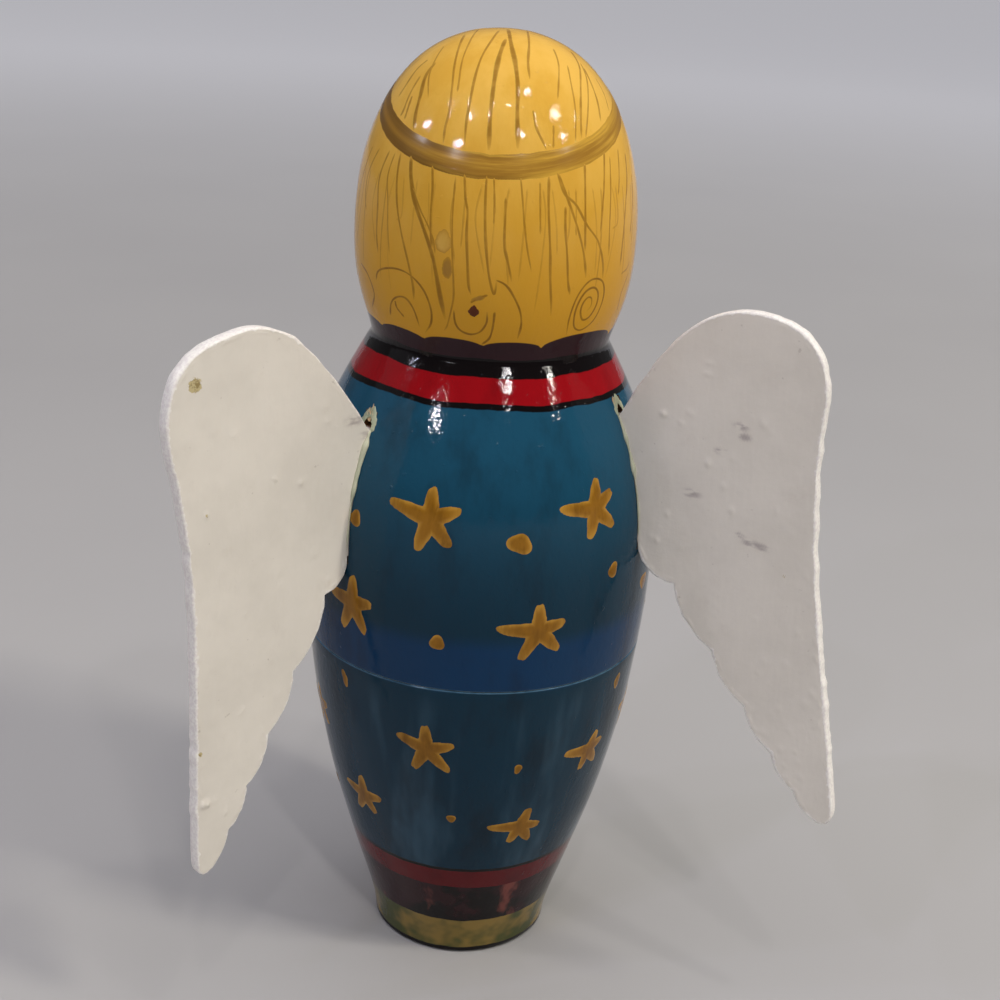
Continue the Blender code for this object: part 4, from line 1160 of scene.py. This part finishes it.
def addHairLines(doll):
    rng = np.random.default_rng(5)
    widths = hairLines["widths"]
    patches = []
    for group, width in widths.items():
        for line in hairLines[group]:
            start, low, high = line[0], *hairLines["underHalo"]["heights"]
            if low < start[1] < high:
                line = ((start[0], start[1] + hairLines["underHalo"]["reach"]), *line[1:])
            patches.append(strokeGrid(doll, line, width, 8 + 5 * len(line), 1, rng.uniform(0, 9),
                                      hairLines["inks"][group]))
    faint = hairLines["faint"]
    for turn in np.linspace(*faint["turns"], faint["count"]):  # faint strokes between the others
        turn, end = turn + rng.uniform(-2, 2), rng.uniform(*faint["ends"])
        line = ((turn, faint["top"]), (turn + rng.uniform(-2, 2), faint["bend"]), (turn + rng.uniform(-3, 3), end))
        patches.append(strokeGrid(doll, line, widths["fine"], 20, 0.7, rng.uniform(0, 9),
                                  rng.uniform(*faint["ink"])))
    unseen = []
    high, middle, low = frontHair["sideHeights"]
    root, bend, tip = frontHair["fringeHeights"]
    for sign in (1, -1):  # the hair beside and over the face
        for turn in np.linspace(*frontHair["side"], frontHair["count"]) * sign:
            top, end = high - rng.uniform(0, 3), rng.uniform(*frontHair["sideEnds"])
            unseen.append(((turn * 0.9, top), (turn, middle), (turn + sign * rng.uniform(-3, 3), low), (turn, end)))
        for k in np.linspace(0.08, 1, frontHair["fringe"]):
            parting, end = 180 - sign * (4 + 10 * k), tip - 5 * k * k - rng.uniform(0, 2.5)
            unseen.append(((parting, root - rng.uniform(0, 2.5)), (180 - sign * (6 + 28 * k), bend),
                           (180 - sign * (8 + 36 * k + rng.uniform(-2, 2)), end)))
    for turn in np.linspace(*frontHair["crownTurns"], frontHair["crown"]):  # from the crown to the halo in front
        end = 171.5 - 5.5 * math.cos(math.radians(turn)) + rng.uniform(-1, 1)
        start = (turn + rng.uniform(-8, 8), 179.8 - rng.uniform(0, 0.7))
        unseen.append((start, (turn + rng.uniform(-3, 3), 0.5 * (end + 179)), (turn, end)))
    for line in unseen:
        width = rng.uniform(widths["fine"], widths["medium"])
        patches.append(strokeGrid(doll, line, width, 24, 1, rng.uniform(0, 9), rng.uniform(*frontHair["ink"])))
    mesh = closeMesh(buildMesh(f"{doll['name']}_hair_lines", patches), False)
    markPaint(mesh, doll, paintPlan)
    addPiece(mesh, [skinPaints[doll["name"]]], doll["bodies"]["upper"])


haloBand = {"middle": 169.05, "tilt": (-0.0766, -0.4094), "width": 3.9, "ragged": 0.06,
            "shadeFrom": 0.3, "shadeAndLight": 0.6, "rightEnd": 0.5,
            "columns": 361, "rows": 9, "knots": 91, "rounds": 60}


def addHalo(doll):
    # a painted band where a tilted plane cuts the head: height = middle + tilt * place, found by closing in on it
    columns, rows, knots = haloBand["columns"], haloBand["rows"], haloBand["knots"]
    turn = np.linspace(0, 2 * np.pi, columns)[:, None]
    across = np.linspace(-0.5, 0.5, rows)[None]
    rng = np.random.default_rng(2)
    edge = np.interp(np.linspace(0, knots - 1, columns), np.arange(knots), rng.normal(size=knots))[:, None]
    edge = edge * haloBand["ragged"]
    height = np.full((columns, rows), haloBand["middle"])
    for _ in range(haloBand["rounds"]):
        radius = radiusAt(height * mm) / mm
        plane = radius * (haloBand["tilt"][0] * np.sin(turn) + haloBand["tilt"][1] * np.cos(turn))
        height = 0.6 * height + 0.4 * (haloBand["middle"] + plane + across * haloBand["width"] + 2 * edge * across)
    lift = 0.7 * paintThickness["lift"] * (1 - (2 * across) ** 6)
    lift = lift - 0.6 * paintThickness["sunk"] * np.abs(2 * across)
    lift = lift + 0.008 * mm * np.sin(across * 40 + 3 * np.sin(2 * turn))
    grid = onDoll(doll, turn + 0 * across, arcAt(np.minimum(height, 179.9) * mm), lift)
    side = np.sin(turn) + 0 * across  # 1 on the left, where the band is painted darker as shade, -1 on the right, where it is painted paler as light
    # painted shade on the left and painted light on the right, carried in the rim tone and in the pale streaks
    thick = np.clip(2 * (side - haloBand["shadeFrom"]), 0, 1)
    thin = np.clip(-np.sin(2 * turn), 0, 1) * (side < 0)
    marks = {"rim": 2 * np.abs(across) + haloBand["shadeAndLight"] * (thick - thin),
             "strokeThinAndShade": 1 - 0.9 * thick - haloBand["rightEnd"] * np.clip(-5 * side - 3.7, 0, 1),
             "strokeAcross": 10 * mm * across + 0 * turn,
             "strokeAside": 3 * mm * np.sin(turn) + 0 * across, "strokeAlong": 9 * mm * np.cos(turn) + 0 * across}
    layPaint(f"{doll['name']}_halo", [{"grid": grid, "marks": marks}], [haloPaint], doll["bodies"]["upper"])


faceParts = {  # mm from the middle of the face, mm up, half width, half height, lean
    "eyeWhite": ((6.3, 145.2, 2.9, 1.45, 94), (240, 232, 218), (214, 204, 188)),
    "iris": ((6.1, 145.2, 1.35, 1.35, 0), (58, 98, 138), (36, 66, 104)),
    "pupil": ((6.1, 145.2, 0.62, 0.62, 0), (14, 12, 14), (30, 26, 28)),
    "glint": ((5.7, 145.8, 0.3, 0.3, 0), (248, 246, 240), (236, 232, 226)),
    "upperLip": ((0.9, 134.6, 1.5, 0.6, 78), (176, 40, 42), (146, 28, 32)),
    "lowerLip": ((0.0, 133.8, 1.5, 0.7, 90), (190, 52, 50), (160, 36, 38)),
}
faceStrokes = {  # drawn on one side and mirrored: (mm from the middle, mm up) points, width in mm
    "brow": (((3.2, 149.2), (6.0, 150.3), (9.6, 148.9)), 0.6),
    "lash": (((3.2, 144.9), (4.6, 146.3), (6.6, 146.8), (9.3, 145.3)), 0.5),
    "lid": (((4.2, 143.9), (6.3, 143.5), (8.6, 144.3)), 0.25),
    "nose": (((1.5, 139.4), (1.1, 138.5), (0.3, 138.6)), 0.4),
}


def addFace(doll):
    # a calm doll's face of plain painted shapes, mirrored about the front
    def frontSpot(across, height):
        return 180 + math.degrees(across * mm / radiusAt(height * mm)), height
    materials, patches = [], []
    for index, (part, (shape, tone, thin)) in enumerate(faceParts.items()):
        across, height, wide, tall, lean = shape
        for sign in (1, -1) if across else (1,):
            reach = blobReach(tall * mm, wide * mm, sign * lean) if lean > 45 else blobReach(wide * mm, tall * mm)
            patch = patchGrid(doll, frontSpot(sign * across, height), reach, 48, 5, 1 + 0.35 * index)
            patches.append({**patch, "slots": index})
        materials.append(strokePaint(f"{doll['name']}{part}Paint", tone, thin, 0.5))
    for line, width in faceStrokes.values():
        for sign in (1, -1):
            path = [frontSpot(sign * across, height) for across, height in line]
            patch = strokeGrid(doll, path, width * mm, 18, 2.2, 1)
            patches.append({**patch, "slots": len(materials), "marks": {"rim": 0 * patch["marks"]["ink"]}})
    materials.append(facePaint)
    layPaint(f"{doll['name']}_face", patches, materials, doll["bodies"]["upper"])


wearMarks = {  # degrees from the back, mm up, half width and half height in mm, and a corner or a lean
    "leaves": ((14.9, 134.9, 1.15, 1.1, 1.45), (27.6, 146.3, 1.7, 2.0, 2.0), (25.6, 141.9, 1.1, 1.9, 2.0)),
    "stain": (13.0, 137.4, 1.5, 0.5, -20), "raised": 0.45,
}


def addWear(doll):
    # a chip, a worn spot and a smudge in a paint each, and a stain in the smudge's paint
    marks = [(spot[:2], leafReach(spot[2] * mm, spot[3] * mm, spot[4])) for spot in wearMarks["leaves"]]
    stain = wearMarks["stain"]
    marks.append((stain[:2], blobReach(stain[2] * mm, stain[3] * mm, stain[4], 0.1)))
    patches = [{**patchGrid(doll, spot, reach, 48, 7, wearMarks["raised"]), "slots": min(index, 2)}
               for index, (spot, reach) in enumerate(marks)]
    layPaint("outer_wear_marks", patches, [chipPaint, wornPaint, smudgePaint], "outer_upper")


# Torn wood at the upper end of each slot

tornEnds = {
    "left": {"count": 9, "length": 3.4 * mm, "seed": 1, "chip": (2.2 * mm, 2.5 * mm), "height": 0.9},
    "right": {"count": 6, "length": 2.4 * mm, "seed": 4, "chip": (1.9 * mm, 2.2 * mm), "height": 0.9},
    "inner": 0.5, "drop": 0.5 * mm, "sliver": (0.2 * mm, 0.5 * mm), "scatter": 1.3, "lean": 0.5, "from": (1.2, 2.2),
    "climb": (0.45, 0.8), "sunk": 0.5 * mm, "lifted": 0.5, "steps": 8, "sides": 6,
}


def addTornWood():
    for side, wing in wingSides.items():
        torn = tornEnds[side]
        rng = np.random.default_rng(torn["seed"])
        patches = []
        top = wing["root"] + wingPattern["slotOverrun"]
        for _ in range(torn["count"]):
            # a sliver: a flat six-sided section that narrows from the slot's end to a point, lifting off the skin
            t = np.linspace(0, 1, tornEnds["steps"])[:, None]
            angle = np.linspace(0, 2 * np.pi, tornEnds["sides"], endpoint=False)[None]
            width = rng.uniform(*tornEnds["sliver"]) * (1 - 0.9 * t)
            lean, start = (rng.uniform(-tornEnds[key], tornEnds[key]) for key in ("lean", "scatter"))
            climb = top - rng.uniform(*tornEnds["from"]) * mm + torn["length"] * rng.uniform(*tornEnds["climb"]) * t
            climb = climb + 0.3 * width * np.sin(angle)
            outwards = radiusAt(climb) - tornEnds["sunk"] * (1 - t) + rng.uniform(0.0, tornEnds["lifted"]) * mm * t
            outwards = outwards + 0.35 * width * np.sin(angle)
            off = start * mm + lean * mm * t + width * np.cos(angle)
            sliver = inPlane(wing, np.stack([outwards, climb], -1), off)
            patches.append({"grid": sliver, "wrap": True, "caps": True})
        mesh = closeMesh(buildMesh(f"{side}_slot_splinters", patches))
        addPiece(mesh, [tornWood], "outer_upper")
        spot = (wing["side"] * wingPattern["spread"], wing["root"] / mm + torn["height"])
        ring = patchGrid(dolls["outer"], spot, leafReach(*torn["chip"], 1.8), 90, 9, 0.9, tornEnds["inner"],
                         tornEnds["drop"])
        layPaint(f"{side}_slot_chipped_varnish", [ring], [chippedVarnish], "outer_upper")


for doll in dolls.values():
    if doll["name"] == "smallest":
        addSolidDoll(doll)
    else:
        addShells(doll)
    addStars(doll, 120 if doll["name"] == "outer" else 70)
    addHairLines(doll)
    addHalo(doll)
    addFace(doll)
    print(doll["name"], "doll turned and painted")
addWings()
addGlue()
addTornWood()
addWear(dolls["outer"])


# Floor, light and camera

floorLook = {  # a grey that goes over into a paler one between two distances
    "size": 60.0, "tone": (176, 174, 171), "cloudTone": (168, 166, 164), "farTone": (240, 240, 242),
    "far": (0.3, 2.6), "drop": 0.02 * mm, "rough": 0.55,
}


def addFloor():
    half = floorLook["size"] / 2
    span = np.linspace(-half, half, 9)
    x, y = np.meshgrid(span, span, indexing="ij")
    mesh = buildMesh("studio_floor", [{"grid": np.stack([x, y, 0 * x - floorLook["drop"]], -1)}])
    material, tree, where, shader = newMaterial("studioFloor")
    shade = mixTone(tree, noise(tree, where, 6, 3, 0.5), tint(*floorLook["tone"]), tint(*floorLook["cloudTone"]))
    away = place(tree, "ShaderNodeVectorMath", {0: where}, operation="LENGTH").outputs["Value"]
    shade = mixTone(tree, step(tree, away, *floorLook["far"]), shade, tint(*floorLook["farTone"]))
    tree.links.new(shade, shader["Base Color"])
    shader["Roughness"].default_value = floorLook["rough"]
    mesh.materials.append(material)
    floor = newObject("studio_floor", mesh)


lamps = {  # direction from the doll, distance and width in metres, light on the doll, colour
    "keyLamp": ((-0.59, 0.38, 0.72), 1.5, 0.22, 1.0, (1.0, 0.955, 0.85)),
    "backLamp": ((-0.14, 0.76, 0.64), 1.5, 0.065, 0.36, (1.0, 0.96, 0.96)),
    "nearLamp": ((0.01, 0.52, 0.86), 1.5, 0.05, 0.2, (1.0, 0.96, 0.96)),
    "highLamp": ((-0.24, 0.32, 0.92), 1.5, 0.05, 0.2, (1.0, 0.97, 0.93)),
    "rightLamp": ((-0.68, 0.48, 0.55), 1.5, 0.06, 0.34, (1.0, 0.95, 0.88)),
    "leftLamp": ((0.84, 0.07, 0.54), 1.5, 0.035, 0.16, (0.75, 0.74, 1.0)),
    "leftHighLamp": ((0.63, 0.15, 0.76), 1.5, 0.025, 0.12, (0.75, 0.74, 1.0)),
    "leftNearLamp": ((0.48, 0.46, 0.75), 1.5, 0.025, 0.14, (0.75, 0.74, 1.0)),
    "leftBackLamp": ((0.62, 0.58, 0.53), 1.5, 0.025, 0.16, (0.75, 0.74, 1.0)),
    "rightPanel": ((-0.95, -0.25, 0.45), 1.8, 1.0, 0.27, (1.0, 0.97, 0.94)),
    "leftPanel": ((0.97, -0.12, 0.45), 1.8, 1.0, 0.06, (0.88, 0.92, 1.0)),
}
skyLight = {"level": 1.46, "spread": 64, "colour": (0.965, 0.945, 1.0)}  # a broad light from straight above
lampAim = 0.12  # height on the doll that the lamps point at
glints = {  # small bright lamps seen in the varnish alone, and lamps that aren't mirrored in it
    "from": ("leftLamp", "leftHighLamp", "leftNearLamp", "leftBackLamp"), "level": 0.45,
    "colour": (1.0, 0.98, 0.96), "without": ("rightPanel",),
}


def addLamp(name, way, distance, width, level, colour):
    # a disk of power p at a distance d lights the doll with p / (pi * d * d)
    light = bpy.data.lights.new(name, "AREA")
    light.shape, light.size, light.color = "DISK", width, colour
    light.energy = level * math.pi * distance ** 2
    lamp = newObject(name, light)
    way = np.array(way) / np.linalg.norm(way)
    lamp.matrix_world = facing(np.array([0, 0, lampAim]) + distance * way, way, np.array([0, 0, 1.0]))
    return lamp


def addLamps():
    for name, settings in lamps.items():
        addLamp(name, *settings).visible_glossy = name not in glints["without"]
    for name in glints["from"]:
        way, distance, width, _, _ = lamps[name]
        addLamp(f"{name}Glint", way, distance, width, glints["level"], glints["colour"]).visible_diffuse = False
    sun = bpy.data.lights.new("skyLight", "SUN")
    sun.energy, sun.angle, sun.color = skyLight["level"], math.radians(skyLight["spread"]), skyLight["colour"]
    newObject("skyLight", sun).visible_glossy = False  # its round disk isn't mirrored in the crown


def facing(spot, back, up):
    # a frame at a spot whose own Z points back and whose Y leans up
    side = np.cross(up, back)
    side = side / np.linalg.norm(side)
    turned = np.stack([side, np.cross(back, side), back], 1)
    full = np.eye(4)
    full[:3, :3], full[:3, 3] = turned, spot
    return Matrix(full.tolist())


photoView = {  # found from the ovals of the base, the seam and the collar
    "lens": 54.0, "distance": 0.3016, "centre": 0.06714, "elevation": 24.535, "azimuth": 172.0,
    "yaw": 0.731, "pitch": 4.492, "roll": 3.082, "sensor": 36.0, "nearest": 0.01,
}


def addCamera(view):
    azimuth, elevation, yaw, pitch, roll = (math.radians(view[key])
                                            for key in ("azimuth", "elevation", "yaw", "pitch", "roll"))
    ahead = np.array([-math.sin(azimuth) * math.cos(elevation), math.cos(azimuth) * math.cos(elevation),
                      -math.sin(elevation)])
    right = np.array([math.cos(azimuth), math.sin(azimuth), 0.0])
    up = np.cross(right, ahead)
    spot = np.array([0, 0, view["centre"]]) - view["distance"] * ahead
    right, ahead = (math.cos(yaw) * right - math.sin(yaw) * ahead, math.sin(yaw) * right + math.cos(yaw) * ahead)
    up, ahead = (math.cos(pitch) * up - math.sin(pitch) * ahead, math.sin(pitch) * up + math.cos(pitch) * ahead)
    up = math.cos(roll) * up - math.sin(roll) * right
    data = bpy.data.cameras.new("photoCamera")
    data.lens, data.sensor_width, data.clip_start = view["lens"], view["sensor"], view["nearest"]
    camera = newObject("photoCamera", data)
    camera.matrix_world = facing(spot, -ahead, up)
    bpy.context.scene.camera = camera


studioAir = {"colour": (0.82, 0.84, 0.86, 1.0), "strength": 0.16}


def addWorld():
    world = bpy.data.worlds.new("studioAir")
    world.use_nodes = True
    sky = world.node_tree.nodes["Background"].inputs
    sky["Color"].default_value = studioAir["colour"]
    sky["Strength"].default_value = studioAir["strength"]
    bpy.context.scene.world = world


addFloor()
addLamps()
addCamera(photoView)
addWorld()
bpy.context.scene.view_settings.view_transform = "Standard"
print("floor, light and camera set")
